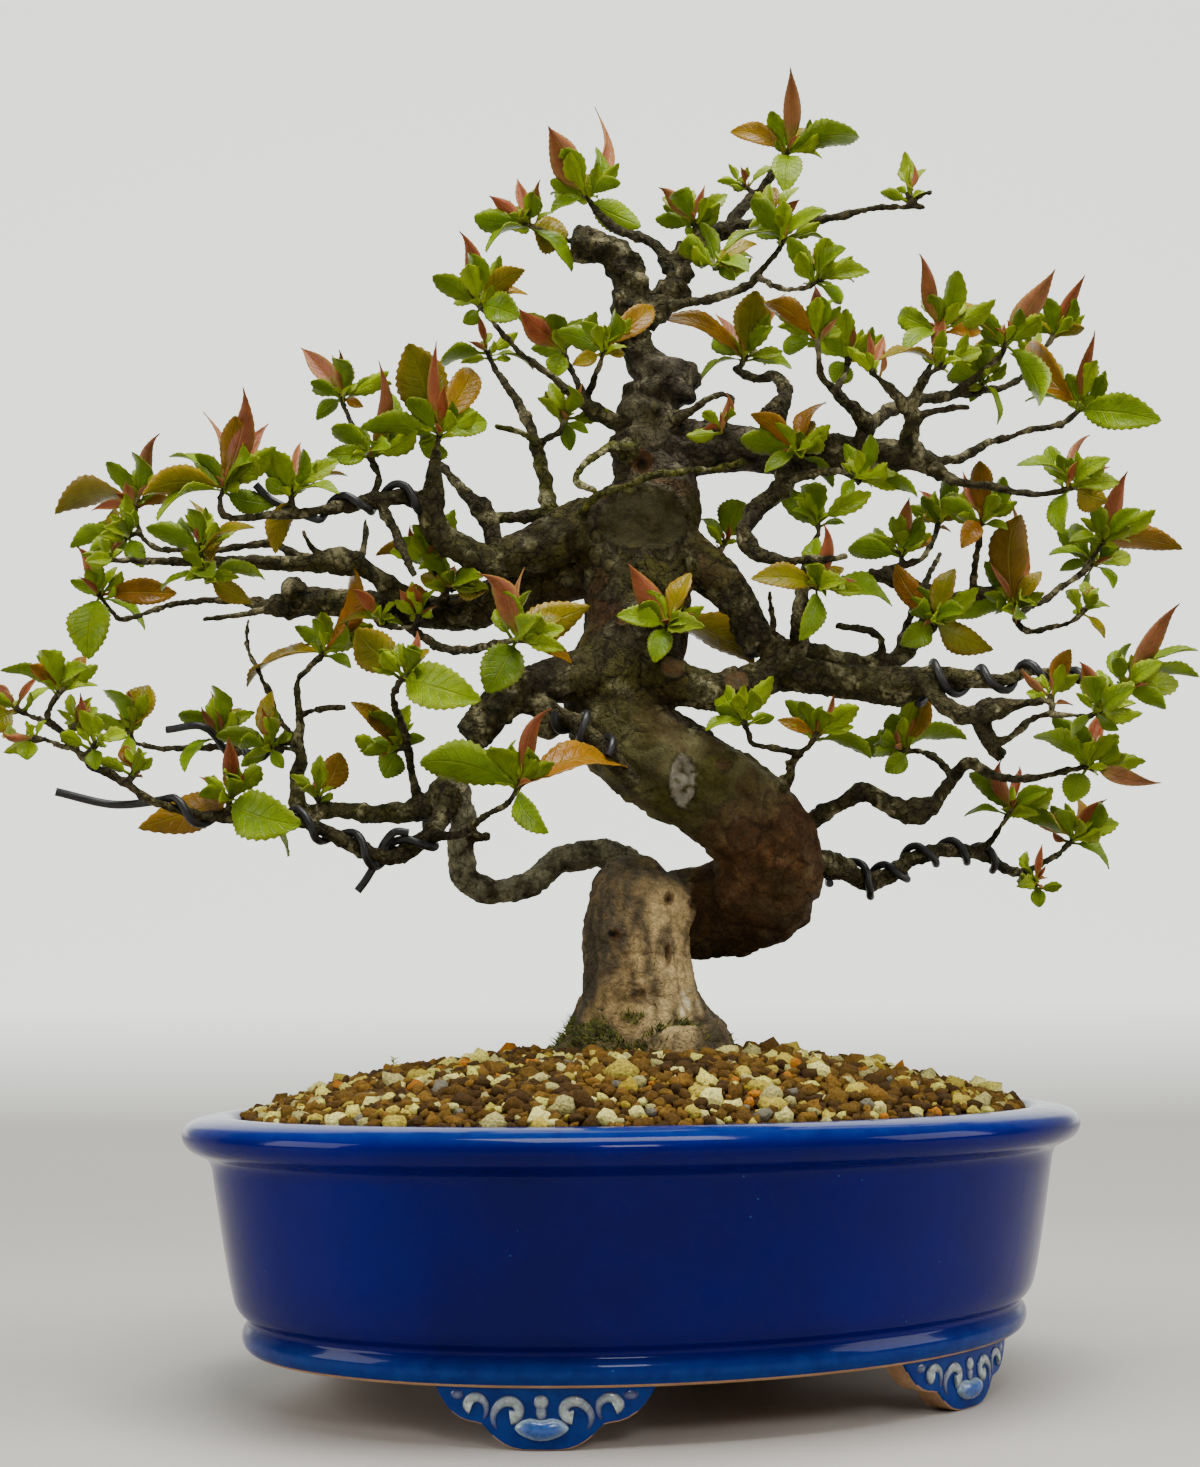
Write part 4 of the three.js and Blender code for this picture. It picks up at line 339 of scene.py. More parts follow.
SHOOTS = {
    "shoot_crown": [
        stem("crown_a", [37, 433, 3.2, 8], [42, 441, 2.8], [50, 449, 2.5], [58, 460, 1.7, 15]),
        stem("crown_b", [39, 434, 2.5, 8], [48, 435, 2.3], [75, 436.5, 2], [93, 440.5, 1.6],
            [113, 441, 1.2, -8]),
        rosette("crown_a", 60, 463, 0, red(65, 498, 7), bronze(38, 472, 9), green(88, 470, 7),
            green(62, 479, 4), green(59, 447, 12)),
        rosette("crown_a", 46, 448, 0),
        rosette("crown_b", 56, 436, -2, bronze(52, 449, 6), red(64, 445, 4)),
        rosette("crown_b", 107, 443, 0),
    ],
    "shoot_crown_left": [
        rosette("top", 24, 434, -3, red(11, 451, 6), red(20, 449, 3), green(30, 441, 4), green(20, 431),
            green(33, 438, 4)),
    ],
    "shoot_crown_fork": [
        stem("fork_up", [45, 410, 1.9, -10], [50, 417, 1.6], [56, 424, 1.4, -16]),
        stem("fork_side", [48, 413, 1.5, -12], [57, 408.5, 1.4], [67, 409, 1.2, -28]),
        rosette("fork_up", 57, 426, 0, green(35, 424, 5), green(75, 427, 3), red(62, 436, 3)),
        rosette("fork_side", 70, 411, 0, red(75, 428, 5), green(80, 403, 4), green(62, 418, 4)),
    ],
    "shoot_crown_low": [
        rosette("top", 31, 418, -9, green(24, 424, 8), green(46, 421, 6), green(39, 412, 5)),
    ],
    "shoot_top": [
        rosette("top_left", -18, 446, 0, red(-35, 473, 13), red(-12.5, 480, 5), bronze(-31, 462, 6),
            green(-14, 466, 6), green(-5, 452, 4), green(-32, 447, 5), green(-32, 440, 6),
            green(3, 434, 13)),
    ],
    "shoot_top_side": [
        rosette("trunk", -41, 435, -6, red(-55, 448, 6), red(-43, 454, 5), red(-37, 454, 3),
            olive(-25, 431, 15), green(-57, 424, 3), green(-24, 416, 7)),
    ],
    "shoot_left_high": [
        rosette("left_high", -60, 403, 0, red(-65, 433, 7), green(-60, 416, 4), olive(-42, 417, 7),
            bronze(-41, 407, 5), green(-44, 398, 12), green(-66, 396, 6)),
    ],
    "shoot_left_pair": [
        stem("pair_a", [-17, 361, 2.5, -4], [-21, 370, 1.8], [-26, 380, 1.3, 6]),
        stem("pair_b", [-19, 366, 1.9, -1], [-16, 372, 1.6], [-13, 380, 1.3, -12]),
        rosette("pair_a", -27, 384, 0, red(-43, 403, 10), green(-33, 380, 4), green(-31, 374, 9)),
        rosette("pair_b", -12, 384, 0, bronze(7, 402, 10), green(-14, 392, 5), olive(-4, 383, 4),
            olive(-24, 379, 6)),
    ],
    "shoot_left_tip": [
        stem("tip_up", [-37, 343.5, 3, 4], [-40, 353, 2.8], [-44, 363, 2.3], [-50, 372, 1.9],
            [-54, 378, 1.5, 16]),
        stem("tip_right", [-37, 348, 1.9, 5], [-29, 352.5, 1.5, -4]),
        rosette("tip_up", -56, 383, 0, green(-75, 379, 4), green(-39, 377, 3)),
        rosette("tip_right", -27, 357, 0, olive(-34, 367, 5), green(-25, 345, 6), green(-18, 352, 4)),
    ],
    "shoot_left_mid": [
        rosette("left_mid", -75, 352, 0, olive(-87, 388, 19), red(-88, 381, 8), red(-74, 389, 4),
            bronze(-63, 378, 11), red(-71, 371, 4), green(-57, 357, 11), green(-105, 355, 6),
            green(-80, 343, 12)),
    ],
    "shoot_left_fork": [
        stem("fork_left", [-99.5, 338, 1.6, -12], [-103, 348, 1.4], [-108, 356, 1.3],
            [-111.5, 363, 1.1, 4]),
        rosette("fork_left", -101, 343, -3, red(-101, 382, 6), green(-93, 368, 8), green(-118, 344, 8)),
        rosette("fork_left", -112, 366, 0, red(-126, 388, 8), red(-112, 386, 3), green(-122, 358, 5),
            bronze(-104, 363, 4), green(-93, 372, 3)),
    ],
    "shoot_west_high": [
        stem("west_high", [-151, 308.7, 1.8, 5], [-162, 307, 1.6], [-174, 307.5, 1.6],
            [-184, 309.5, 1.5], [-189, 316, 1.3], [-190.5, 322, 1.2, 12]),
        rosette("west_high", -190, 325, 0, red(-184, 354, 6), olive(-221, 322, 7), red(-195, 334, 5),
            red(-207, 325, 4), bronze(-178, 328, 4)),
        rosette("west_high", -193, 313, -2, green(-215, 309, 6), green(-187, 301, 8),
            green(-201, 304, 5)),
    ],
    "shoot_wired": [
        stem("wired_end", [-124, 322, 2.3, -23], [-135, 321, 2.1], [-145, 320.5, 1.9], [-157, 321, 1.6],
            [-158.5, 328, 1.3, -28]),
        rosette("wired_end", -157, 331, 0, red(-147, 370, 9), red(-143, 358, 6), bronze(-153, 360, 10),
            red(-163, 360, 3), olive(-188, 329, 7), green(-178, 344, 4), green(-143, 343, 5),
            green(-137, 325, 9), green(-182, 319, 4)),
        rosette("wired_end", -131, 329, 0, red(-130, 350, 4), green(-141, 335, 6), olive(-110, 336, 4),
            green(-113, 329, 4), olive(-137, 306, 8)),
    ],
    "shoot_west_mid": [
        stem("west_mid", [-144, 303, 3, -6], [-156, 303, 2.5], [-170, 303, 2.2], [-184, 303.5, 1.8],
            [-196, 304, 1.3, -16]),
        rosette("west_mid", -165, 308, 0, red(-167, 318, 4), olive(-170, 327, 4), olive(-145, 316, 5)),
        rosette("west_mid", -163, 297, -2, olive(-146, 287, 8), green(-141, 296, 4),
            green(-180, 292, 4)),
        rosette("west_mid", -198, 304, 0),
    ],
    "shoot_west_low": [
        stem("west_low", [-188, 282.5, 1.5, 28], [-195, 281, 1.4], [-201, 287, 1.2, 30]),
        rosette("west_low", -203, 290, 0, red(-211, 310, 7), bronze(-174, 291, 11),
            green(-207, 266, 17), green(-186, 277, 4)),
    ],
    "shoot_far_left": [
        stem("far_a", [-184, 213, 1.9, -26], [-195, 221, 1.8], [-205, 226, 1.7], [-210, 231, 1.6],
            [-217, 239, 1.4], [-222, 244, 1.3], [-220, 250, 1.2, -34]),
        stem("far_b", [-209, 230.5, 1.4, -29], [-217, 233.5, 1.3], [-223, 236, 1.1, -42]),
        stem("far_c", [-217, 239, 1.4, -31], [-224, 243, 1.2], [-229, 245, 1.1, -24]),
        rosette("far_a", -217, 254, 0, bronze(-229, 264, 5), bronze(-208, 267, 5), green(-240, 262, 4)),
        rosette("far_a", -212, 240, 4, bronze(-206, 250, 5)),
        rosette("far_c", -231, 246, 0, olive(-245, 240, 11), red(-243, 257, 5)),
        rosette("far_b", -225, 236, 0, green(-229, 228, 7)),
        rosette("far_a", -204, 233, -4, red(-208, 254, 4), green(-203, 224, 6)),
        rosette("far_a", -190, 221, 0, bronze(-193, 233, 5)),
    ],
    "shoot_low_west": [
        stem("low_west", [-152, 232.5, 1.8, 21], [-165, 232, 1.7], [-178, 232, 1.5],
            [-189, 234, 1.3, 32]),
        rosette("low_west", -191, 238, 0, red(-193, 254, 5), olive(-184, 256, 13), green(-190, 226, 6)),
        rosette("low_west", -157, 236, 0, red(-159, 253, 3), red(-163, 248, 3), green(-150, 241, 4),
            green(-170, 223, 6)),
    ],
    "shoot_low_front": [
        rosette("low_b", -153, 212, -6, red(-156, 236, 6), red(-163, 222, 3), red(-147, 222, 3),
            bronze(-187, 202, 14), green(-126, 203, 17), green(-131, 191, 4)),
    ],
    "shoot_low_inner": [
        rosette("low_a", -138, 232, -6, red(-140, 247, 4), green(-149, 225, 5), green(-133, 224, 5),
            green(-130, 237, 4)),
    ],
    "shoot_low_mid": [
        rosette("low_a", -120, 212, -5, bronze(-112, 230, 11), red(-121, 222, 4)),
    ],
    "shoot_mid_a": [
        rosette("low_a", -118, 268, 0, bronze(-107, 300, 11), olive(-127, 290, 5), bronze(-110, 275, 4),
            olive(-147, 255, 6), green(-108, 262, 4)),
    ],
    "shoot_mid_b": [
        stem("mid_b", [-97, 283, 2.2, 8], [-97, 279, 1.8, 2], [-90, 277, 1.5, -1], [-84, 278, 1.2, -2]),
        rosette("mid_b", -97, 280, -4, red(-107, 293, 5), olive(-114, 277, 4)),
        rosette("mid_b", -83, 280, -2, bronze(-84, 294, 8), red(-91, 291, 4)),
    ],
    "shoot_mid_c": [
        stem("mid_c", [-90.5, 244, 1.7, -15], [-92, 250, 1.5], [-90, 256, 1.4, -27]),
        rosette("mid_c", -88, 258, -3, olive(-106, 277, 15), red(-85, 276, 4), green(-59, 249, 16)),
    ],
    "shoot_mid_d": [
        stem("mid_d", [-74, 286, 3, 4], [-73, 292, 1.9], [-77, 299, 1.4, -3]),
        rosette("mid_d", -78, 301, 0, red(-87, 316, 4), bronze(-99, 305, 3), olive(-66, 306, 3)),
        rosette("mid_d", -71, 292, -3, olive(-82, 297, 6), olive(-56, 292, 9), red(-70, 301, 4),
            green(-62, 299, 4)),
    ],
    "shoot_mid_front": [
        rosette("to_c7", -45, 272, -5, red(-58, 299, 9), red(-44, 299, 3), green(-40, 291, 3),
            olive(-18, 285, 13), green(-57, 252, 15), bronze(-25, 263, 6)),
    ],
    "shoot_trunk_front": [
        rosette("trunk", 11, 277, -22, red(-1, 302, 9), red(16, 291, 3), green(-8, 281, 8),
            olive(44, 262, 9), green(6, 263, 9)),
    ],
    "shoot_low_front_b": [
        rosette("to_d1", -45, 217, -2, red(-35, 247, 6), green(-46, 234, 3), green(-82, 226, 14),
            bronze(-4, 223, 11), green(-34, 199, 8)),
    ],
    "shoot_low_stem": [
        rosette("to_d2", -91, 231, 1, bronze(-108, 249, 7), green(-95, 220, 11), green(-80, 235, 4)),
    ],
    "shoot_east_high": [
        rosette("to_e1", 170, 360, 0, red(179, 391, 5), bronze(151, 386, 10), green(201, 355, 14),
            green(149, 363, 4)),
    ],
    "shoot_east_top": [
        stem("east_top", [121, 366, 2.4, 12], [131, 367.5, 2.1], [142, 369, 1.8], [151, 375, 1.5],
            [159, 386, 1.2, 30]),
        stem("east_top_b", [122, 367, 2, 12], [131, 373, 1.7], [138, 379, 1.5], [141, 382, 1.3, 4]),
        rosette("east_top_b", 142, 385, 0, red(160, 417, 9), olive(112, 401, 10), green(155, 362, 6),
            green(129, 382, 4)),
        rosette("east_top", 161, 389, 0, red(172, 414, 5), olive(150, 397, 4), olive(173, 392, 4)),
        rosette("east_top", 133, 371, -4, green(138, 354, 4), bronze(126, 376, 4), green(128, 363, 4)),
        rosette("east_top", 152, 378, 2, green(164, 371, 6)),
    ],
    "shoot_east_fork": [
        stem("fork_a", [105, 351, 4, -19], [106, 360, 2.8], [108, 367, 2.4], [112, 374, 1.6, -30]),
        stem("fork_b", [105.5, 357, 3, -21], [100, 366, 2.4], [95, 371, 1.8, -34]),
        stem("fork_c", [108.5, 368, 1.8, -26], [113, 378, 1.4], [116, 387, 1.3, -22]),
        rosette("fork_c", 117, 390, 0, red(113, 423, 6), bronze(133, 391, 6), green(103, 383, 7)),
        rosette("fork_a", 117, 377, 0, red(120, 399, 5), olive(94, 380, 4)),
        rosette("fork_b", 93, 373, 0, red(94, 390, 4)),
    ],
    "shoot_east_inner": [
        stem("inner_a", [84, 360.5, 3, -18], [78, 366, 2.2], [72, 373, 1.7], [70.5, 384, 1.3, -30]),
        stem("inner_b", [77, 367, 1.8, -22], [81, 376, 1.3, -16]),
        rosette("inner_b", 82, 380, 0, red(83, 397, 5), green(76, 371, 10), olive(93, 375, 3)),
        rosette("inner_a", 70, 388, 0, red(72, 410, 5), bronze(50, 403, 6), green(67, 397, 5),
            green(57, 385, 6)),
    ],
    "shoot_centre": [
        rosette("up_a", 42, 381, 3, olive(47, 408, 15), red(55, 407, 7), red(41, 402, 4),
            red(29, 399, 5), bronze(10, 397, 10), green(60, 377, 8), green(25, 372, 3)),
    ],
    "shoot_centre_low": [
        stem("centre_low", [14, 357, 3.5, -6], [22, 361, 1.7], [33, 367, 1.5], [37, 364, 1.3],
            [35, 358, 1.2, -14]),
        rosette("centre_low", 34, 355, 0, red(36, 367, 4)),
    ],
    "shoot_east_front": [
        rosette("right_high", 62, 343, -12, bronze(44, 359, 6), bronze(73, 363, 6), green(49, 336, 6),
            green(75, 330, 3), green(63, 352, 4)),
    ],
    "shoot_east_end": [
        stem("east_end", [116, 335, 2.9, -15], [124, 331.5, 2.1], [135, 330, 1.8], [147, 327, 1.6],
            [161, 327.5, 1.3, -26]),
        rosette("east_end", 165, 329, 0, green(145, 338, 5), red(173, 352, 3), green(166, 341, 4),
            olive(179, 324, 12), green(162, 311, 6)),
    ],
    "shoot_east_drop": [
        rosette("to_e15", 131, 316, 0, bronze(131, 340, 8), red(126, 337, 3), bronze(123, 306, 8),
            green(139, 323, 4), green(141, 313, 4)),
    ],
    "shoot_east_mid": [
        rosette("right_upper", 142, 283, -6, bronze(146, 319, 15), red(142, 325, 4), red(133, 300, 3),
            green(120, 279, 7)),
    ],
    "shoot_east_mid_b": [
        rosette("right_upper", 112, 277, -10, bronze(98, 300, 9), red(116, 293, 3), green(99, 269, 10),
            olive(134, 267, 12)),
    ],
    "shoot_east_back": [
        stem("east_back", [90, 296, 2.3, 1], [98, 299, 2], [108, 302, 1.7], [113, 311, 1.4, 16]),
        rosette("east_back", 100, 304, 0, red(102, 326, 6), bronze(112, 311, 5), green(80, 306, 8)),
        rosette("east_back", 115, 316, 0, red(109, 329, 5), olive(121, 321, 5), olive(110, 320, 5)),
    ],
    "shoot_east_up": [
        stem("east_up", [62, 283, 3.5, -21], [63, 295, 2.6], [66, 305, 1.8], [69, 312, 1.2, -14]),
        rosette("east_up", 69, 291, -6, red(73, 316, 5), red(65, 310, 4), olive(43, 295, 10),
            green(96, 284, 10), green(61, 271, 8)),
        rosette("east_up", 69, 315, 0, red(68, 330, 4), green(59, 321, 3), green(79, 316, 3)),
    ],
    "shoot_under": [
        rosette("to_e22", 84, 333, 0, green(107, 326, 3), green(89, 344, 5), green(78, 326, 5)),
    ],
    "shoot_behind": [
        rosette("right_mid", 33, 308, 12, green(40, 325, 14), green(24, 318, 5)),
    ],
    "shoot_east_tips": [
        stem("tips_a", [141, 287.5, 2.8, 10], [148, 284, 2.2], [155, 287, 1.9], [164, 293, 1.6],
            [171, 298, 1.3, 28]),
        stem("tips_b", [149, 284.5, 2, 15], [143, 278, 1.8, 6], [147, 274, 1.6], [156, 275, 1.4],
            [165, 278, 1.2, -12]),
        stem("tips_c", [167, 295, 1.5, 26], [175, 305, 1.2, 16]),
        rosette("tips_a", 173, 299, 2, green(156, 303, 4), green(160, 297, 4), green(180, 290, 5),
            green(171, 286, 4)),
        rosette("tips_c", 177, 308, 0, red(185, 336, 7), bronze(207, 305, 8), green(164, 308, 4)),
        rosette("tips_b", 168, 281, 0, bronze(172, 291, 4), olive(176, 271, 4)),
    ],
    "shoot_east_low": [
        stem("low_a", [129, 237, 3, -29], [134, 232, 1.9], [141, 235, 1.7], [148, 241, 1.6],
            [158, 242, 1.4], [169, 241, 1.2, -44]),
        rosette("low_a", 155, 248, 2, bronze(163, 267, 7), green(148, 256, 3)),
        rosette("low_a", 172, 243, 0, red(168, 263, 6), green(182, 249, 4), green(162, 233, 4),
            green(180, 236, 4)),
    ],
    "shoot_east_tip": [
        rosette("right_collar", 182, 252, 0, red(202, 286, 6), green(186, 269, 4), green(211, 266, 3),
            green(211, 256, 3), green(198, 244, 5)),
    ],
    "shoot_front_low": [
        stem("front_low", [60, 228, 1.7, -19.5], [52, 230, 1.6], [43, 231.5, 1.4], [41, 236, 1.3, -26]),
        stem("front_low_b", [56, 223, 2.1, -17], [60, 228, 1.7], [64, 231, 1.3, -24]),
        rosette("front_low_b", 66, 234, 0, bronze(52, 241, 5), red(73, 252, 3), green(69, 246, 4),
            green(87, 226, 4)),
        rosette("front_low", 40, 239, 0, green(25, 237, 4), green(33, 248, 4), green(51, 242, 4)),
    ],
    "shoot_low_east": [
        rosette("to_g2", 168, 222, 0, green(148, 234, 5), red(180, 246, 5), red(194, 214, 6),
            green(161, 209, 10)),
    ],
    "shoot_low_east_b": [
        stem("low_east", [117, 219, 2.3, -12], [110, 227, 1.6], [103, 229, 1.3, -2]),
        rosette("low_east", 100, 229, 0, green(95, 243, 8), red(101, 248, 4), bronze(107, 254, 5),
            green(123, 233, 5), green(92, 221, 8)),
    ],
    "shoot_low_east_c": [
        stem("east_c", [134, 185.5, 2.3, 25], [141, 183, 2], [149, 186, 1.7], [156, 190, 1.4, 32]),
        rosette("east_c", 161, 195, 0, red(142, 212, 7), bronze(163, 211, 6), red(173, 211, 5),
            green(174, 184, 6)),
        rosette("east_c", 146, 179, -3, green(148, 170, 6), red(151, 193, 3)),
    ],
    "shoot_low_east_d": [
        stem("east_d", [124, 190.5, 2.3, 21], [131, 195, 1.6], [135, 201, 1.3, 12]),
        rosette("east_d", 138, 205, 0, red(134, 225, 6), red(144, 223, 3), green(157, 198, 5),
            green(121, 204, 3)),
    ],
}

COIL_STEPS = 14
COIL_SPACING = 1.5
# Each wire's limb, the shares of its length that it is wound between, its turns and its free end
WIRES = {
    "wire_mid": {"limb": "left_wired", "from": 0.08, "to": 0.95, "turns": 2,
                 "end": [[-139, 327, -31], [-145, 333, -33]]},
    "wire_inner": {"limb": "to_b6", "from": 0.2, "to": 0.95, "turns": 2,
                   "end": [[-163, 240, 24], [-177, 239, 26]]},
    "wire_low": {"limb": "low_b", "from": 0.08, "to": 0.94, "turns": 5,
                 "end": [[-196, 211, -33], [-218, 216, -38]]},
    "wire_front": {"limb": "front_limb", "from": 0.3, "to": 0.72, "turns": 2, "end": []},
    "wire_east": {"limb": "right_collar", "from": 0.58, "to": 0.97, "turns": 4, "end": []},
    "wire_east_low": {"limb": "to_g3", "from": 0.12, "to": 0.94, "turns": 5, "end": []},
}

# How broad each kind is for its length, how it arches and folds, and where it is widest
LEAF_FORMS = {
    "red": {"breadth": 0.19, "arch": 0.05, "fold": 0.8, "belly": 0.38, "point": 1.3, "ripple": 0.05,
            "teeth": 0.01},
    "bronze": {"breadth": 0.34, "arch": 0.16, "fold": 0.35, "belly": 0.5, "point": 0.85, "ripple": 0.1,
               "teeth": 0.02},
    "olive": {"breadth": 0.42, "arch": 0.14, "fold": 0.35, "belly": 0.48, "point": 0.9, "ripple": 0.1,
              "teeth": 0.024},
    "green": {"breadth": 0.42, "arch": 0.16, "fold": 0.35, "belly": 0.5, "point": 0.78, "ripple": 0.12,
              "teeth": 0.028},
    "bract": {"breadth": 0.36, "arch": 0.14, "fold": 0.6, "belly": 0.48, "point": 1.05, "ripple": 0.16,
              "teeth": 0.045},
}
STALK_HEAD = 2.2
SEAT_CLEARANCE = 2.5
PETIOLE = 2.2
LEAST_BREADTH = 3
LEAF_THICKNESS = 0.36
BLADE_CELLS = (26, 6)
MEDIUM_CELLS = (14, 4)
SMALL_CELLS = (10, 4)
SMALL_LEAVES = 9
MEDIUM_KINDS = ("green", "bract", "olive", "green", "green", "bract")
LEAF_TONES = {
    "red": ((0.25, 0.07, 0.028), (0.2, 0.036, 0.012), (0.27, 0.13, 0.05)),
    "bronze": ((0.2, 0.08, 0.001), (0.16, 0.095, 0.001), (0.23, 0.055, 0.002)),
    "olive": ((0.15, 0.14, 0.001), (0.19, 0.13, 0.001), (0.1, 0.13, 0.001)),
    "green": ((0.1, 0.165, 0.0003), (0.15, 0.22, 0.0005), (0.055, 0.115, 0.0003)),
    "bract": ((0.15, 0.22, 0.0005), (0.23, 0.3, 0.002), (0.085, 0.13, 0.0005)),
}
LEAF_GLOSS = {"red": 0.3, "bronze": 0.95, "olive": 0.75, "green": 0.55, "bract": 0.55}
RED_MARGIN = (0.28, 0.06, 0.008)
PALE_MARGIN = (0.3, 0.27, 0.03)


def leaf_frame(root, tip, form, seen_width, turn):
    """The length, width and directions of a blade that is seen with the given width."""
    length = (tip - root).length
    axis = (tip - root).normalized()
    side = axis.cross(Vector((0, 1, 0))).normalized()
    front = side.cross(axis).normalized()
    width = max(seen_width, form["breadth"] * length, LEAST_BREADTH)
    swing = math.acos(min(1, seen_width / width)) * turn
    across = side * math.cos(swing) + front * math.sin(swing)
    face = axis.cross(across).normalized()
    if face.z < 0:
        face.negate()
        across.negate()
    return length, width, across, face


def add_leaf(bed, root, tip, kind, seen_width, turn, seed, cells=BLADE_CELLS):
    """Shape one blade from a grid: petiole, folded midrib, arched spine, ripples and fine teeth.

    In the grid, s runs from 0 at the root to 1 at the tip and c from -1 to 1 across the blade.
    """
    form = LEAF_FORMS[kind]
    length, width, across, face = leaf_frame(root, tip, form, seen_width, turn)
    sway = (draw(seed + 0.3) - 0.5) * 0.16 * length
    middle = (root + tip) / 2 + face * (2 * form["arch"] * length) + across * sway
    sickle = (draw(seed + 1.7) - 0.5) * (1.1 if kind == "red" else 0.4) * length
    hook = (0.09 if draw(seed + 2.3) > 0.5 else -0.09) * length if kind == "red" else 0
    power = math.log(0.5) / math.log(form["belly"])
    petiole = min(0.14, PETIOLE / length)
    first, second, third = LEAF_TONES[kind]
    pick = draw(seed + 0.7)
    body = mixed(first, second if pick > 0.5 else third, abs(pick - 0.5) * 1.6)
    glow = 0.8 + 0.45 * draw(seed + 0.9)
    made = bmesh.ops.create_grid(bed, x_segments=cells[0], y_segments=cells[1], size=1,
                                 calc_uvs=True)["verts"]
    tone_layer = bed.verts.layers.float_color["tone"]
    for vertex in made:
        s, c = (vertex.co.x + 1) / 2, vertex.co.y
        blade_share = max(0, (s - petiole) / (1 - petiole))
        half = width / 2 * math.sin(math.pi * blade_share ** power) ** form["point"]
        half = max(half, 0.5 * (1 - s) + 0.08)
        if abs(c) > 0.99 and blade_share > 0.04:
            tooth = round(s * cells[0]) % 2
            half += (form["teeth"] if tooth else -0.7 * form["teeth"]) * width
        place = root * (1 - s) ** 2 + middle * (2 * s * (1 - s)) + tip * s * s
        place += across * (sickle * s * s * (s - 1) + hook * s ** 5)
        tangent = ((middle - root) * (1 - s) + (tip - middle) * s).normalized()
        rib = tangent.cross(across).normalized()
        wave = math.sin(s * 11 + seed) * form["ripple"] * half * c * c
        pucker = 0.035 * half * math.sin(s * 46 - abs(c) * 5) * min(1, 2 * abs(c)) * (1 - s)
        rise = form["fold"] * half * (abs(c) - 0.12) ** 2 if abs(c) > 0.12 else -0.03 * half
        vertex.co = place + across * (c * half) + rib * (rise + wave + pucker)
        margin = abs(c) ** 4
        shade = mixed(body, second, 0.6 * s)
        if kind == "red":
            shade = mixed(shade, LEAF_TONES["bract"][0], 0.5 * (1 - step(0.05, 0.4, s)))
        if kind in ("bronze", "olive"):
            shade = mixed(shade, RED_MARGIN, 0.4 * margin)
        pale = mixed(shade, PALE_MARGIN, 0.22 * margin)
        vertex[tone_layer] = (*(glow * value for value in pale), LEAF_GLOSS[kind])


def rosette_base(seat, u, v, lift):
    """Where a rosette sits, clear of the bark of its limb, and which way it points."""
    base = sight(u, v, seat[0].y + lift)
    away = base - seat[0]
    clear = seat[1] + SEAT_CLEARANCE
    if away.length < clear:
        base = seat[0] + away.normalized() * clear
    return base, (base - seat[0]).normalized()


def ring_direction(up, angle, rise):
    """The direction at an angle round up, raised by rise from the plane across it."""
    side = up.cross(Vector((0.31, 0.87, 0.38))).normalized()
    other = up.cross(side)
    return (side * math.cos(angle) + other * math.sin(angle)) * math.cos(rise) + up * math.sin(rise)


def add_rosette(bed, base, up, leaves, seed):
    """The listed leaves of one rosette, and the small ones that open round its base."""
    for index, (kind, u, v, width) in enumerate(leaves):
        seed += 1
        flat = (sight(u, v, base.y) - base).length
        lean = flat * (0.2 + 0.55 * draw(seed)) * (1 if seed % 2 == 0 else -1)
        turn = 1 if draw(seed + 0.5) > 0.5 else -1
        tip = sight(u, v, base.y + lean)
        direction = (tip - base).normalized()
        outward = (direction - up * direction.dot(up)).normalized()
        upright = direction.dot(up) > 0.75
        level = 0.75 if upright else 0.4 - 1.2 * index / len(leaves)
        root = base + up * (STALK_HEAD * level) + outward * (0.4 if upright else 0.9)
        add_leaf(bed, root, tip, kind, width, turn, seed)
    rise = 0.35 + 0.65 * max(0, up.z)
    aim = (up * 0.6 + Vector((0, 0, 0.8))).normalized()
    for k in range(SMALL_LEAVES):
        angle = k * 2.4 + seed
        length = 5 + 10 * draw(seed + 0.11 * k + 20) ** 1.4
        way = ring_direction(aim, angle, 0.08 * k + rise * draw(seed + 0.17 * k + 3))
        root = base + way * 0.5 + up * (0.7 * k - 2.2)
        kind = "red" if draw(seed + k * 1.3) > 0.86 else "bract"
        width = length * (0.2 if kind == "red" else 0.24 + 0.2 * draw(seed + k))
        add_leaf(bed, root, root + way * length, kind, width, 1, seed + k * 0.37, SMALL_CELLS)
    if len(leaves) > 2:
        for k, kind in enumerate(MEDIUM_KINDS):
            angle = math.pi / 2 + k * 0.4 * math.pi + draw(seed + k + 0.2)
            length = 12 + 11 * draw(seed + 0.23 * k + 8)
            way = ring_direction(aim, angle, 0.35 + 0.5 * draw(seed + 0.4 * k))
            root = base + way * 0.8 + up * (1.2 - 0.4 * k)
            tip = root + way * length
            add_leaf(bed, root, tip, kind, 0.36 * length, 1, seed + k * 0.53 + 9, MEDIUM_CELLS)
    return seed


def finish_leaves(bed, name):
    """Give the blades their thickness, with both sides and the rim closed."""
    return modified(mesh_of(bed, name), ("SOLIDIFY", {"thickness": LEAF_THICKNESS, "offset": 0}))


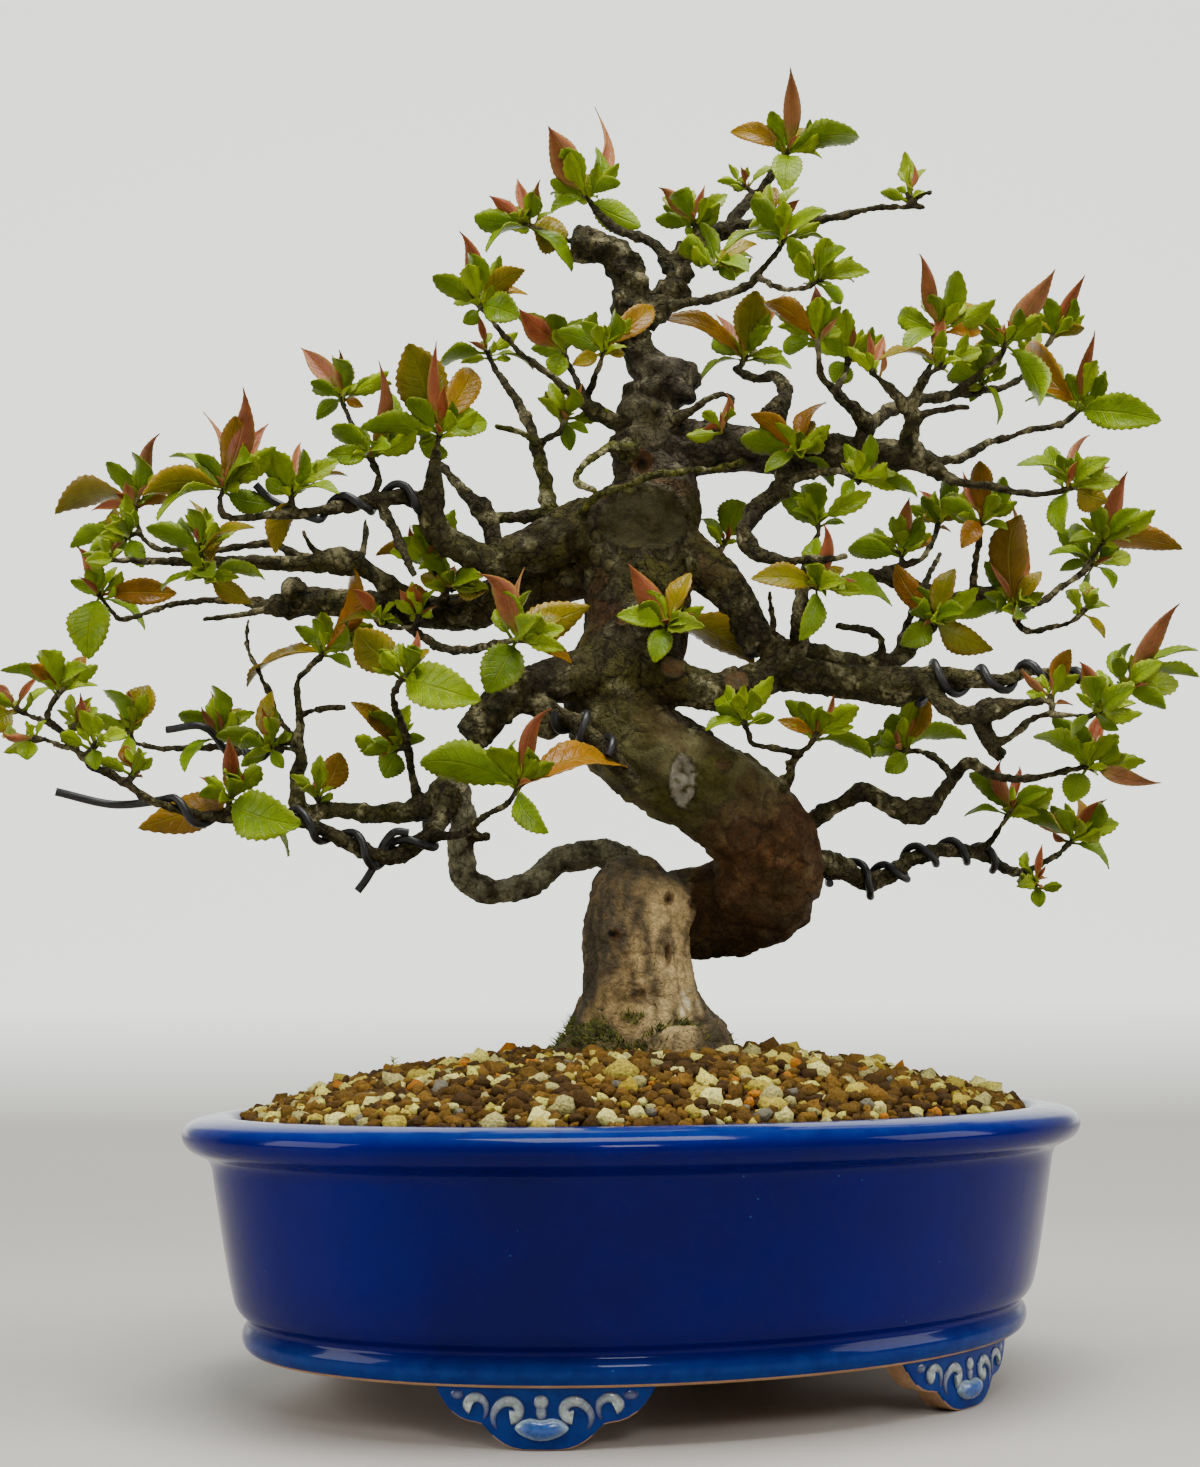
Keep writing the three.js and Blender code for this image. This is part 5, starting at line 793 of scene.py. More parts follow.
def make_shoots(runs, material):
    """Make a piece of leaves for each shoot, and give back the twigs and stalks under them."""
    twigs = []
    for index, (name, parts) in enumerate(SHOOTS.items()):
        stems = {part["stem"]: grown_run(part["points"]) for part in parts if "stem" in part}
        twigs.extend(stems.values())
        bed = bmesh.new()
        bed.loops.layers.uv.verify()
        bed.verts.layers.float_color.new("tone")
        seed = 100 * index
        for part in parts:
            if "stem" in part:
                continue
            run = stems.get(part["seat"]) or runs[part["seat"]]
            seat = nearest_seat(run, part["u"], part["v"])
            base, up = rosette_base(seat, part["u"], part["v"], part["lift"])
            head = base + up * STALK_HEAD
            twigs.append(smooth_run([seat[0], base, head], [1.3, 1.5, 1.9]))
            seed = add_rosette(bed, base, up, part["leaves"], seed)
        mesh = finish_leaves(bed, name)
        piece(name.replace("shoot_", "leaves_"), mesh, [material], [name])
    return twigs


# The wood: one curve of many runs, grown together, roughened and coloured as bark
WOOD_VOXEL = 0.8
WOOD_TRIANGLES = 180000
STOUT_RADIUS = 8
# Short snags and dead ends that only this script has, laid out as LIMBS is
EXTRA_LIMBS = [
    ("link", [-33, 321, 3, 0], [-43, 319.5, 2.8], [-56, 319.5, 2.6, -1]),
    ("spur_b", [-115, 303, 1.8, 0], [-122, 307, 1.4], [-127, 315, 1.1, -6]),
    ("low_spur", [-64, 197, 2.2, 2], [-56, 198, 1.8, 0]),
    ("dead_twig", [52, 268, 1.8, -12], [51, 279, 1.5], [50, 290, 1, -24]),
    ("mossy_left", [-36, 346, 2.1, 4], [-43, 352, 1.7], [-54, 355, 1.3, 0]),
    ("low_stub", [-84, 193.5, 2.7, -2], [-94, 190.5, 2.6], [-103, 192, 2.8, -4]),
    ("tip_bud", [106, 441, 1.5, -7], [112, 446, 1.2], [116, 447, 0.9, -8]),
]
# Burls and swollen forks: (u, v, depth, radius)
SWELLINGS = [
    (-113, 303.5, 0, 5.4), (-59, 323, -2, 4.6), (53, 358, -1, 5.2), (97, 253.5, -17, 7.6),
    (104, 206, -10, 5.4), (131, 244, -33, 4.6), (17, 407, 1, 5.6), (-71, 213, 0, 8.8),
    (-130, 292, 16, 5.6), (35, 252, -14, 8.2), (52, 266, -11, 6.2), (-34, 240, -17, 6),
    (2, 344, -2, 12.6), (14, 371, -1, 11), (12, 257, -14, 8), (49, 185, 4, 20.3), (45, 176, 8, 20.6),
    (3, 169.5, -3, 17.4), (-4, 170, -3, 17),
]
# Root flares at the foot, laid out as the points of a limb
ROOTS = [
    [[-16, 121, 10, -8], [-27, 113, 8, -12], [-37, 107, 5, -14]],
    [[16, 121, 10, -9], [27, 112.5, 8, -14], [37, 107, 5, -18]],
    [[17, 119, 10, 10], [30, 111, 8, 12], [40, 106, 5, 14]],
    [[-14, 119, 10, 12], [-26, 111, 8, 16], [-35, 106, 5, 20]],
]


def make_runs():
    """Every limb's run by name. Only the stout ones keep the depths that are listed."""
    runs = {}
    for name, *points in LIMBS + EXTRA_LIMBS:
        deepen = 1 if points[0][2] > 15 else DEPTH_SPREAD
        runs[name] = grown_run(points, deepen)
    return runs


def knobbly(run, seed):
    """Nodes, kinks and dents along a twig, so that it isn't an even tube."""
    shaped = []
    for i, (place, radius) in enumerate(run):
        swell = noise.noise(Vector((i * 0.21, seed * 7.3, 0)))
        bud = max(0, math.sin(i * 0.52 + seed) - 0.7)
        sway = Vector((noise.noise(Vector((i * 0.13, seed, 5))), 0,
                       noise.noise(Vector((seed, i * 0.13, 9)))))
        shift = sway * min(1.3, 0.4 * radius) * min(1, i / 5) * min(1, (len(run) - 1 - i) / 5)
        slim = 0.88 if radius < 4.6 else 1
        shaped.append((place + shift, radius * (slim + 0.18 * swell + (0.6 * bud if radius < 5 else 0))))
    return shaped


def gnarled(runs):
    """The same runs, with every limb but the stout ones made knobbly."""
    return {name: knobbly(run, i) if run[0][1] < 9 else run for i, (name, run) in enumerate(runs.items())}


def guide_to(points):
    """A search tree over (place, radius, name) points, with the list that it indexes."""
    tree = kdtree.KDTree(len(points))
    for i, point in enumerate(points):
        tree.insert(point[0], i)
    tree.balance()
    return tree, points


def limb_at(place, *guides):
    """The radius and name of the limb whose surface lies nearest."""
    nearest = []
    for tree, points in guides:
        index, distance = tree.find(place)[1:]
        nearest.append((distance - points[index][1], *points[index][1:]))
    return min(nearest)[1:]


def make_wood(shaped, twigs, material):
    """All the wood as one skin: tubes and swellings grown together, carved and coloured."""
    groups = [(run, name) for name, run in shaped.items()]
    groups += [(knobbly(run, i + 100), "twig") for i, run in enumerate(twigs)]
    groups += [(grown_run(root, 1), "base") for root in ROOTS]
    mesh = tubes("wood", [run for run, name in groups])
    grown = bmesh.new()
    grown.from_mesh(mesh)
    for u, v, depth, radius in SWELLINGS:
        deepen = 1 if radius > 10 else DEPTH_SPREAD
        place = Matrix.Translation(sight(u, v, depth * deepen))
        bmesh.ops.create_icosphere(grown, subdivisions=2, radius=radius, matrix=place)
    grown.to_mesh(mesh)
    grown.free()
    mesh = modified(mesh, ("REMESH", {"mode": "VOXEL", "voxel_size": WOOD_VOXEL}),
                    ("SMOOTH", {"factor": 0.5, "iterations": 2}))
    points = [(place, radius, name) for run, name in groups for place, radius in run]
    stout = guide_to([point for point in points if point[1] > STOUT_RADIUS])
    slender = guide_to([point for point in points if point[1] <= STOUT_RADIUS])
    carve_bark(mesh, stout, slender)
    count = sum(len(face.vertices) - 2 for face in mesh.polygons)
    if count > WOOD_TRIANGLES:
        mesh = modified(mesh, ("DECIMATE", {"ratio": WOOD_TRIANGLES / count}))
    paint(mesh, lambda place: bark_tone(place, *limb_at(place, stout, slender)))
    piece("tree_wood", mesh, [material], ["wood"])


# Healed cuts and knot holes on the front: (u, v, half width, half height, front, kind)
SCARS = [
    (15, 215, 4.6, 9, -12, "grey"), (37, 196, 5.5, 5.5, -8, "knot"), (2, 337, 4.6, 4.6, -2, "hole"),
    (2, 314, 17, 12.5, -12, "olive"), (12, 257, 4.5, 5, -14, "knot"), (35, 252, 5, 4.4, -18, "knot"),
    (48, 265, 4, 3.6, -14, "knot"), (92, 347, 4, 4, -14, "hole"), (-130, 292, 3.6, 3.6, 22, "knot"),
    (-103, 192, 3, 3, -16, "knot"), (10, 173.5, 1.9, 2.3, -12, "hole"),
    (18.8, 171.8, 1.7, 2.6, -6, "hole"), (-9.5, 160.5, 2.2, 1.8, -12, "hole"),
    (-1, 138.7, 2.1, 2.3, -12, "knot"), (9.7, 153.5, 1.2, 3.6, -12, "hole"),
    (62, 190, 3.6, 4.2, -6, "knot"), (30, 221, 3, 2.4, -14, "knot"), (-6, 276, 3, 3.6, -14, "knot"),
]
DISH_DEPTH = {"hole": 1.8, "knot": 0.6, "grey": 1.2, "olive": 0.5}
FLAKE_SIZE = {"stout": 15, "slender": 6}
OUT_OF_REACH = 9


def scar_reach(place, scar):
    """How far from a scar's middle a place lies, as a share of its half size."""
    u, v, wide, tall, front, _ = scar
    return math.hypot((place.x - u) / wide, (place.z - v) / tall) if place.y < front else OUT_OF_REACH


def scar_depth(place):
    """A dish or hole with a raised rim at each scar."""
    depth = 0
    for scar in SCARS:
        reach = scar_reach(place, scar)
        if reach < 1.5:
            wide, kind = scar[2], scar[5]
            rim = math.exp(-(((reach - 1) / (0.1 if wide > 9 else 0.22)) ** 2))
            depth += min(0.9, 0.3 * wide) * rim - DISH_DEPTH[kind] * (1 - step(0.5, 0.95, reach))
    return depth


def flake(place, radius):
    """Bark flakes: how far inside its flake a place lies, and the flake's own number."""
    size = FLAKE_SIZE["stout" if radius > STOUT_RADIUS else "slender"]
    shaken = place / size + 0.5 * noise.noise_vector(place / size * 1.6)
    near, centres = noise.voronoi(shaken)
    own = draw(centres[0].x * 3.1 + centres[0].y * 7.7 + centres[0].z * 5.3)
    return near[1] - near[0], own


def carve_bark(mesh, *guides):
    """Move each point of the wood along its normal: flakes, furrows, rings, burls and fine grain."""
    normals = [vertex.normal.copy() for vertex in mesh.vertices]
    for vertex, normal in zip(mesh.vertices, normals):
        place = vertex.co.copy()
        radius, name = limb_at(place, *guides)
        stout = step(3, 16, radius)
        rough = noise.fractal(place * 0.45, 0.9, 2.1, 3)
        slow = noise.noise(place * 0.045)
        lumps = noise.noise(place * 0.12 + Vector((9, 2, 4)))
        upper = step(318, 352, place.z) if radius > 5 else 0
        column = 1 if name == "base" else 0
        gap, own = flake(place, radius)
        shift = stout * (1.1 * slow + 0.9 * lumps) + (0.34 + 0.3 * stout * (upper + 0.6 * column)) * rough
        shift += (own - 0.5) * (0.25 + 0.5 * stout) - (0.3 + 0.35 * stout) * (1 - step(0.02, 0.14, gap))
        if column:
            fold = math.sin(math.atan2(place.y, place.x) * 9 + 2.4 * noise.noise(place * 0.03))
            shift += 1.1 * fold * (1 - step(124, 150, place.z)) * step(100, 112, place.z)
        if upper:
            ring = math.sin(place.z * 0.6 + 0.12 * place.x + 3.4 * noise.noise(place * 0.06))
            shift += upper * (0.8 * ring + 1.6 * noise.noise(place * 0.16 + Vector((4, 4, 1))))
        if radius < STOUT_RADIUS:
            shift += (0.1 * radius + 0.1) * noise.noise(place * 0.33 + Vector((2, 8, 5)))
        if radius > 6:
            shift += scar_depth(place)
        vertex.co = place + normal * shift


def mixed(base, other, share):
    """One colour with a share of another in it."""
    return tuple(blend(a, b, share) for a, b in zip(base, other))


def held(value):
    """The value, kept between 0 and 1."""
    return min(1, max(0, value))


# Bark colours, linear
DARK_BARK = (0.009, 0.0055, 0.002)
GREY_BARK = (0.066, 0.052, 0.027)
OLIVE_BARK = (0.062, 0.053, 0.009)
RED_BARK = (0.09, 0.039, 0.012)
# Painted light: the lit tan of the front face of the foot
LIT_TAN_BARK = (0.52, 0.37, 0.16)
WARM_BARK = (0.28, 0.185, 0.07)
PALE_LICHEN = (0.42, 0.38, 0.2)
MOSS_GREEN = (0.1, 0.1, 0.01)
CUT_WOOD = (0.11, 0.052, 0.018)
FRESH_CUT = (0.34, 0.22, 0.12)
GREY_CUT = (0.27, 0.24, 0.18)
OLIVE_CUT = (0.03, 0.024, 0.006)
CUT_RIM = (0.1, 0.082, 0.045)
# Painted shade inside the knot holes
HOLE_PAINTED_SHADE = (0.004, 0.003, 0.002)
BASE_GREY = (0.075, 0.06, 0.036)
BASE_STREAK = (0.06, 0.042, 0.022)
BASE_SHADE = (0.05, 0.036, 0.02)
BASE_CHALK = (0.75, 0.67, 0.4)
BASE_DAMP = (0.03, 0.036, 0.005)
# Painted highlight on the upper part of the red bulge
PAINTED_HIGHLIGHT_RED = (0.2, 0.09, 0.036)
SMOOTH_SKIN = (0.18, 0.165, 0.066)
OLIVE_PLATE = (0.1, 0.085, 0.02)
CROWN_BARK = (0.13, 0.108, 0.068)
PALE_LIMB = (0.34, 0.31, 0.21)
# How mossy each limb is, where it isn't as mossy as the rest
PLAIN_MOSS = 0.2
MOSSY_LIMBS = {
    "crossing": 1, "loop": 0.9, "mossy_up": 0.85, "mossy_left": 0.9, "link": 0.6, "left_mid": 0.35,
    "left_low": 0.4, "left_up": 0.4, "left_high": 0.3, "stub": 0.25, "to_g1": 0.5, "low_left": 0.35,
    "low_a": 0.5, "right_collar": 0.3, "right_upper": 0.35,
}
STUB_END = -101.5


def base_tone(place, broad, fine):
    """The foot of the tree: a pale tan face at the front right, painted lighter as lit, grey-olive bark
    round it, moss below.
    """
    front = 1 - step(-13, 6, place.y)
    streak = noise.noise(Vector((place.x * 0.3, place.y * 0.3, place.z * 0.06)))
    # Painted light: the pale mask marks the front-right face of the foot, painted pale tan as lit bark.
    edge = -17 + (place.z - 140) * 0.56 + 7 * broad
    pale = front * step(edge - 3, edge + 4, place.x) * (1 - step(17.5, 21, place.x + 2 * fine))
    pale *= 1 - step(174, 184, place.z + 3 * streak)
    painted_lit = mixed(WARM_BARK, LIT_TAN_BARK, held(step(-8, 6, place.x) + 0.9 * streak))
    tone = mixed(BASE_GREY, WARM_BARK, held(0.15 + 0.8 * streak + 0.3 * fine))
    tone = mixed(tone, painted_lit, pale * held(0.85 + 0.8 * streak + 0.4 * fine))
    tone = mixed(tone, BASE_STREAK, 0.6 * step(0.36, 0.5, -streak + 0.4 * fine))
    tone = mixed(tone, BASE_SHADE, 0.5 * (1 - step(120, 134, place.z + 7 * broad)))
    chalk = front * step(10, 13, place.x) * (1 - step(19, 22, place.x)) * step(129, 133, place.z)
    chalk *= (1 - step(139, 142, place.z)) * step(0.1, 0.3, streak + 0.5 * fine)
    tone = mixed(tone, BASE_CHALK, 0.9 * chalk)
    damp = (1 - step(112, 128, place.z + 6 * broad)) * (1 - step(2, 14, place.x))
    return mixed(tone, BASE_DAMP, 0.85 * damp)


def bark_tone(place, radius, name):
    """The bark's colour at a place on the named limb, and how strong its cracks and grain are."""
    broad = noise.noise(place * 0.05 + Vector((3, 7, 1)))
    patch = noise.noise(place * 0.13 + Vector((1, 5, 8)))
    fine = noise.fractal(place * 0.5, 0.8, 2, 2)
    gap, own = flake(place, radius)
    tone = mixed(DARK_BARK, GREY_BARK, held(0.2 + 0.7 * own + 0.5 * fine))
    rough = 1
    if name == "base":
        tone = base_tone(place, broad, fine)
        rough = 0.35
    elif radius > STOUT_RADIUS:
        greenish = held(0.35 + 0.9 * broad + (0.5 if own > 0.6 else 0))
        if place.z < 330:
            bend = 1 - step(186, 216, place.z - 0.6 * (place.x - 30) + 12 * patch)
            bend *= 1 - step(222, 232, place.z)
            skin = 1 - step(226, 248, place.z + 6 * patch)
            bulge = mixed(tone, RED_BARK, held(0.75 + 0.5 * patch))
            # Painted highlight: lighter red patches on the upper part of the red bulge. Painted shade:
            # its lower part is darkened with dark bark.
            painted_lit = 0.5 * step(0.05, 0.35, patch + 0.3 * fine) * step(170, 186, place.z)
            bulge = mixed(bulge, PAINTED_HIGHLIGHT_RED, painted_lit)
            bulge = mixed(bulge, DARK_BARK, 0.5 * (1 - step(156, 180, place.z)))
            tone = mixed(tone, RED_BARK, 0.5 if own < 0.25 else 0)
            tone = mixed(tone, SMOOTH_SKIN, skin * held(0.4 + 0.9 * patch + 0.3 * own))
            tone = mixed(tone, OLIVE_PLATE, held(0.6 * step(225, 290, place.z) * (own - 0.2)))
            tone = mixed(tone, bulge, bend)
            rough = blend(0.65 + 0.3 * own - 0.55 * skin, 0.4, bend)
            greenish *= 1 - 0.8 * bend
        else:
            greenish *= 0.4
            tone = mixed(tone, CROWN_BARK, held(0.35 + 0.3 * step(360, 400, place.z) + 1.1 * patch))
            rough = 0.8
        tone = mixed(tone, OLIVE_BARK, greenish)
        tone = mixed(tone, PALE_LICHEN, 0.25 * rough * step(0.36, 0.5, patch + 0.35 * fine))
        tone = mixed(tone, DARK_BARK, 0.8 * rough * (1 - step(0.03, 0.1, gap)))
    else:
        moss = MOSSY_LIMBS.get(name, PLAIN_MOSS)
        if name == "low_left":
            tone = mixed(tone, PALE_LIMB, held(0.55 + patch + 0.5 * fine))
            rough = 0.6
        tone = mixed(tone, MOSS_GREEN, held(moss * (0.75 + 0.9 * patch + 0.4 * fine)))
        tone = mixed(tone, RED_BARK, 0.3 * step(0.1, 0.4, patch) * (1 - moss))
        tone = mixed(tone, PALE_LICHEN, (0.3 + 0.35 * moss) * step(0.24, 0.4, patch + 0.4 * fine))
    for scar in SCARS:
        reach = scar_reach(place, scar) * (1 + 0.12 * fine)
        if reach < 1.3 and radius > 6:
            kind = scar[5]
            heart = 1 - step(0.9, 1.02, reach)
            rough *= 1 - 0.8 * heart
            tone = mixed(tone, DARK_BARK, 0.7 * step(0.94, 1.04, reach) * (1 - step(1.08, 1.2, reach)))
            if kind == "grey":
                tone = mixed(tone, GREY_CUT, 0.95 * heart * (1 - step(0.1, 0.3, fine)))
            elif kind == "olive":
                tone = mixed(tone, OLIVE_CUT, 0.85 * heart)
                tone = mixed(tone, CUT_RIM, 0.6 * step(1.04, 1.1, reach) * (1 - step(1.14, 1.22, reach)))
            elif kind == "hole":
                tone = mixed(tone, CUT_WOOD, 0.8 * heart)
                # Painted shade: the middle of a knot hole is painted near black, deeper than its shallow
                # dish.
                tone = mixed(tone, HOLE_PAINTED_SHADE, 0.95 * (1 - step(0.3, 0.6, reach)))
            else:
                tone = mixed(tone, mixed(CUT_WOOD, GREY_BARK, held(0.4 + fine)), 0.75 * heart)
    if name == "low_stub" and place.x < STUB_END:
        tone, rough = FRESH_CUT, 0.2
    return (*tone, rough)


# The pot: a lathe-turned section stretched to an oval, with four cloud feet. A section is drawn
# round this radius, and keeps its offsets from the oval outside the core.
PROFILE_RADIUS = 100
CORE_RADIUS = 70
POT_PROFILE = [
    (0, 18.5), (96, 18.5), (99, 18.5), (101.6, 19.1), (103.6, 20.9), (104.4, 23.6), (103.9, 26.2),
    (102.9, 27.6), (102.4, 28.8), (103.3, 30.2), (105, 31.6), (106.9, 34.6), (108.2, 39), (110.6, 51),
    (113, 65), (115, 77), (115.7, 81), (117, 83.6), (120.2, 85.4), (123.6, 87.3), (125.6, 90),
    (125.9, 92.8), (124.6, 95.3), (121.5, 97), (118, 97.9), (114.5, 98.4), (111, 98.2), (108.7, 96.8),
    (108.3, 92), (107.6, 86), (104, 60), (99, 40), (90, 28), (0, 26),
]
FEET = [math.radians(angle) for angle in (56.5, 123.5, 236.5, -56.5)]
FOOT_THICKNESS = 9.6
FOOT_CUT = 5
GLAZE_LINE = 19.6
POT_STEPS = 200
SLIP_BLUE = (0.002, 0.01, 0.12)
SLIP_CREAM = (0.36, 0.41, 0.36)
# Painted highlight: the pale rim round each lozenge
LOZENGE_RIM_HIGHLIGHT = (0.25, 0.33, 0.38)
LOZENGE_FACE = (0.02, 0.08, 0.3)
FOOT_OUTLINE = [
    (36, 20.5), (34.8, 18.6), (33.2, 16), (31.4, 13.5), (29.2, 11.2), (26.6, 9.5), (23.8, 8.5), (21, 8.1),
    (18.9, 7.6), (17.3, 6.2), (15.6, 4.4), (13.6, 2.8), (11.3, 1.5), (8.8, 0.6), (6, 0.1), (3, 0),
]
# The scrolls of half a foot: the (side, height) points of each, and the radius at each point
SCROLLS = [
    ([(14.2, 6.6), (15, 8.6), (15, 11), (13.4, 13.4), (10.6, 14.8), (8, 14.2), (6.8, 12.2), (7.8, 10.4),
      (9.6, 10)],
     [0.6, 1.0, 1.3, 1.6, 1.9, 1.9, 1.8, 2.1, 2.5]),
    ([(18, 9.4), (17.3, 11.6), (17.8, 14.4), (20, 15.8), (22.4, 15.2), (23.2, 13.6), (22, 12.9)],
     [0.6, 1.0, 1.4, 1.7, 1.9, 2.2, 2.6]),
]


def turned(name, profile, steps):
    """Spin a section of (distance, height) round the axis, then stretch it to the pot's oval."""
    bed = bmesh.new()
    chain = [bed.verts.new((distance, 0, height)) for distance, height in profile]
    edges = [bed.edges.new(pair) for pair in zip(chain, chain[1:])]
    bmesh.ops.spin(bed, geom=chain + edges, cent=(0, 0, 0), axis=(0, 0, 1), angle=2 * math.pi,
                   steps=steps, use_merge=True)
    bmesh.ops.remove_doubles(bed, verts=bed.verts, dist=1e-4)
    for vertex in bed.verts:
        distance = math.hypot(vertex.co.x, vertex.co.y)
        angle = math.atan2(vertex.co.y, vertex.co.x)
        if distance < CORE_RADIUS:
            length = distance * POT_HALF_LENGTH / PROFILE_RADIUS
            depth = distance * POT_HALF_DEPTH / PROFILE_RADIUS
        else:
            length = POT_HALF_LENGTH + distance - PROFILE_RADIUS
            depth = POT_HALF_DEPTH + distance - PROFILE_RADIUS
        vertex.co.x, vertex.co.y = length * math.cos(angle), depth * math.sin(angle)
    bmesh.ops.recalc_face_normals(bed, faces=bed.faces)
    bed.transform(Matrix.Rotation(POT_TURN, 4, "Z"))
    return mesh_of(bed, name)


def wrapped(mesh, centre_angle):
    """Bend a mesh drawn as (side, outward, height) round the oval at the given angle."""
    speed = math.hypot(POT_HALF_LENGTH * math.sin(centre_angle), POT_HALF_DEPTH * math.cos(centre_angle))
    for vertex in mesh.vertices:
        side, outward, height = vertex.co
        angle = centre_angle + side / speed
        edge = Vector((POT_HALF_LENGTH * math.cos(angle), POT_HALF_DEPTH * math.sin(angle), height))
        normal = Vector((math.cos(angle) / POT_HALF_LENGTH, math.sin(angle) / POT_HALF_DEPTH, 0))
        vertex.co = Matrix.Rotation(POT_TURN, 3, "Z") @ (edge + normal.normalized() * outward)


def foot_mesh():
    """A foot drawn flat: its outline filled, thickened, cut fine and rounded at the front edge."""
    bed = bmesh.new()
    right = [bed.verts.new((side, 0.2, height)) for side, height in FOOT_OUTLINE]
    left = [bed.verts.new((-side, 0.2, height)) for side, height in reversed(FOOT_OUTLINE)]
    face = bed.faces.new(right + left)
    deep = bmesh.ops.extrude_face_region(bed, geom=[face])
    moved = [item for item in deep["geom"] if isinstance(item, bmesh.types.BMVert)]
    bmesh.ops.translate(bed, verts=moved, vec=(0, -FOOT_THICKNESS, 0))
    bmesh.ops.recalc_face_normals(bed, faces=bed.faces)
    rim = [edge for edge in bed.edges if all(v.co.y > 0 and v.co.z < 20 for v in edge.verts)]
    bmesh.ops.bevel(bed, geom=rim, offset=0.9, segments=3, profile=0.5, affect="EDGES", material=-1)
    for side in range(-35, 36, FOOT_CUT):
        whole = bed.verts[:] + bed.edges[:] + bed.faces[:]
        bmesh.ops.bisect_plane(bed, geom=whole, plane_co=(side, 0, 0), plane_no=(1, 0, 0))
    bmesh.ops.triangulate(bed, faces=bed.faces)
    return mesh_of(bed, "foot")


def relief_mesh():
    """The raised work on one foot: two pairs of scrolls, and drops between them and at the ends."""
    runs = []
    for points, radii in SCROLLS:
        for sign in (1, -1):
            line = [Vector((sign * side, 0, height)) for side, height in points]
            runs.append(smooth_run(line, radii, 0.4))
    mesh = tubes("scrolls", runs)
    bed = bmesh.new()
    bed.from_mesh(mesh)
    lumps = (((0, 0, 14.6), (2.5, 2, 2.4)), ((0, 0, 11.4), (1.9, 1.5, 2.6)),
             ((-27, 0, 16.4), (2.4, 1, 1.6)), ((27, 0, 16.4), (2.4, 1, 1.6)))
    for place, size in lumps:
        shape = Matrix.Translation(place) @ Matrix.Diagonal((*size, 1))
        bmesh.ops.create_uvsphere(bed, u_segments=20, v_segments=12, radius=1, matrix=shape)
    bed.to_mesh(mesh)
    bed.free()
    return mesh


def lozenge_mesh():
    """The lozenge under the scrolls: a flattened ball, dipped at the middle of its top."""
    bed = bmesh.new()
    made = bmesh.ops.create_uvsphere(bed, u_segments=40, v_segments=20, radius=1)["verts"]
    for vertex in made:
        x, y, z = vertex.co
        dip = 1 - 0.26 * math.exp(-(x / 0.3) ** 2) * (1 if z > 0 else 0)
        vertex.co = Vector((8.4 * x * (1 - 0.22 * max(0, -z)), 2.8 * y, 6.6 + 3.6 * z * dip))
    return mesh_of(bed, "lozenge")


def make_pot(glaze, bare_clay, slip):
    """The body and its four feet, bare where they stand, each with its scrolls and its lozenge."""
    middle = [Vector((x, 0, z)) for x, z in POT_PROFILE[1:-1]]
    fine = smooth_run(middle, [0] * len(middle), 1.4)
    profile = [POT_PROFILE[0]] + [(place.x, place.z) for place, _ in fine] + [POT_PROFILE[-1]]
    mesh = turned("pot_body", profile, POT_STEPS)
    for face in mesh.polygons:
        face.material_index = 1 if face.center.z < GLAZE_LINE else 0
    piece("pot_body", mesh, [glaze, bare_clay], ["pot"])
    for i, angle in enumerate(FEET):
        foot = foot_mesh()
        for face in foot.polygons:
            inward = face.center.y
            face.material_index = 1 if inward < -0.9 or face.normal.z < -0.55 and inward < 0 else 0
        wrapped(foot, angle)
        piece(f"pot_foot_{i + 1}", foot, [glaze, bare_clay], ["pot"], shade=False)
        scrolls = relief_mesh()
        for vertex in scrolls.vertices:
            vertex.co.y = 0.1 + 0.55 * vertex.co.y
        paint(scrolls, lambda place: mixed(SLIP_BLUE, SLIP_CREAM, step(0.3, 1.4, place.y)))
        wrapped(scrolls, angle)
        piece(f"foot_scrolls_{i + 1}", scrolls, [slip], ["pot"])
        lozenge = lozenge_mesh()
        # Painted highlight: each lozenge's sloping rim is painted pale, and its top deep blue.
        paint(lozenge, lambda place: mixed(LOZENGE_RIM_HIGHLIGHT, LOZENGE_FACE, step(0.8, 2.6, place.y)))
        wrapped(lozenge, angle)
        piece(f"foot_lozenge_{i + 1}", lozenge, [slip], ["pot"])


def carried_frames(run):
    """Turning-free directions along a run: a normal and a binormal at each point."""
    places = [place for place, _ in run]
    ways = [(b - a).normalized() for a, b in zip(places, places[1:] + [2 * places[-1] - places[-2]])]
    least = min(range(3), key=lambda axis: (abs(ways[0][axis]), -axis))  # the axis most across the run
    start = Vector((0, 0, 0))
    start[least] = 1
    normal = ways[0].cross(ways[0].cross(start).normalized())
    frames = []
    for before, way in zip([ways[0]] + ways, ways):
        normal = before.rotation_difference(way) @ normal
        frames.append((normal, way.cross(normal)))
    return frames


# The free end of a wire that hooks down in front of its limb, as (u, v) points
HOOKS = {"wire_low": [(-86, 199.5), (-91, 200), (-95, 196), (-98, 189), (-102, 182), (-105, 178)]}


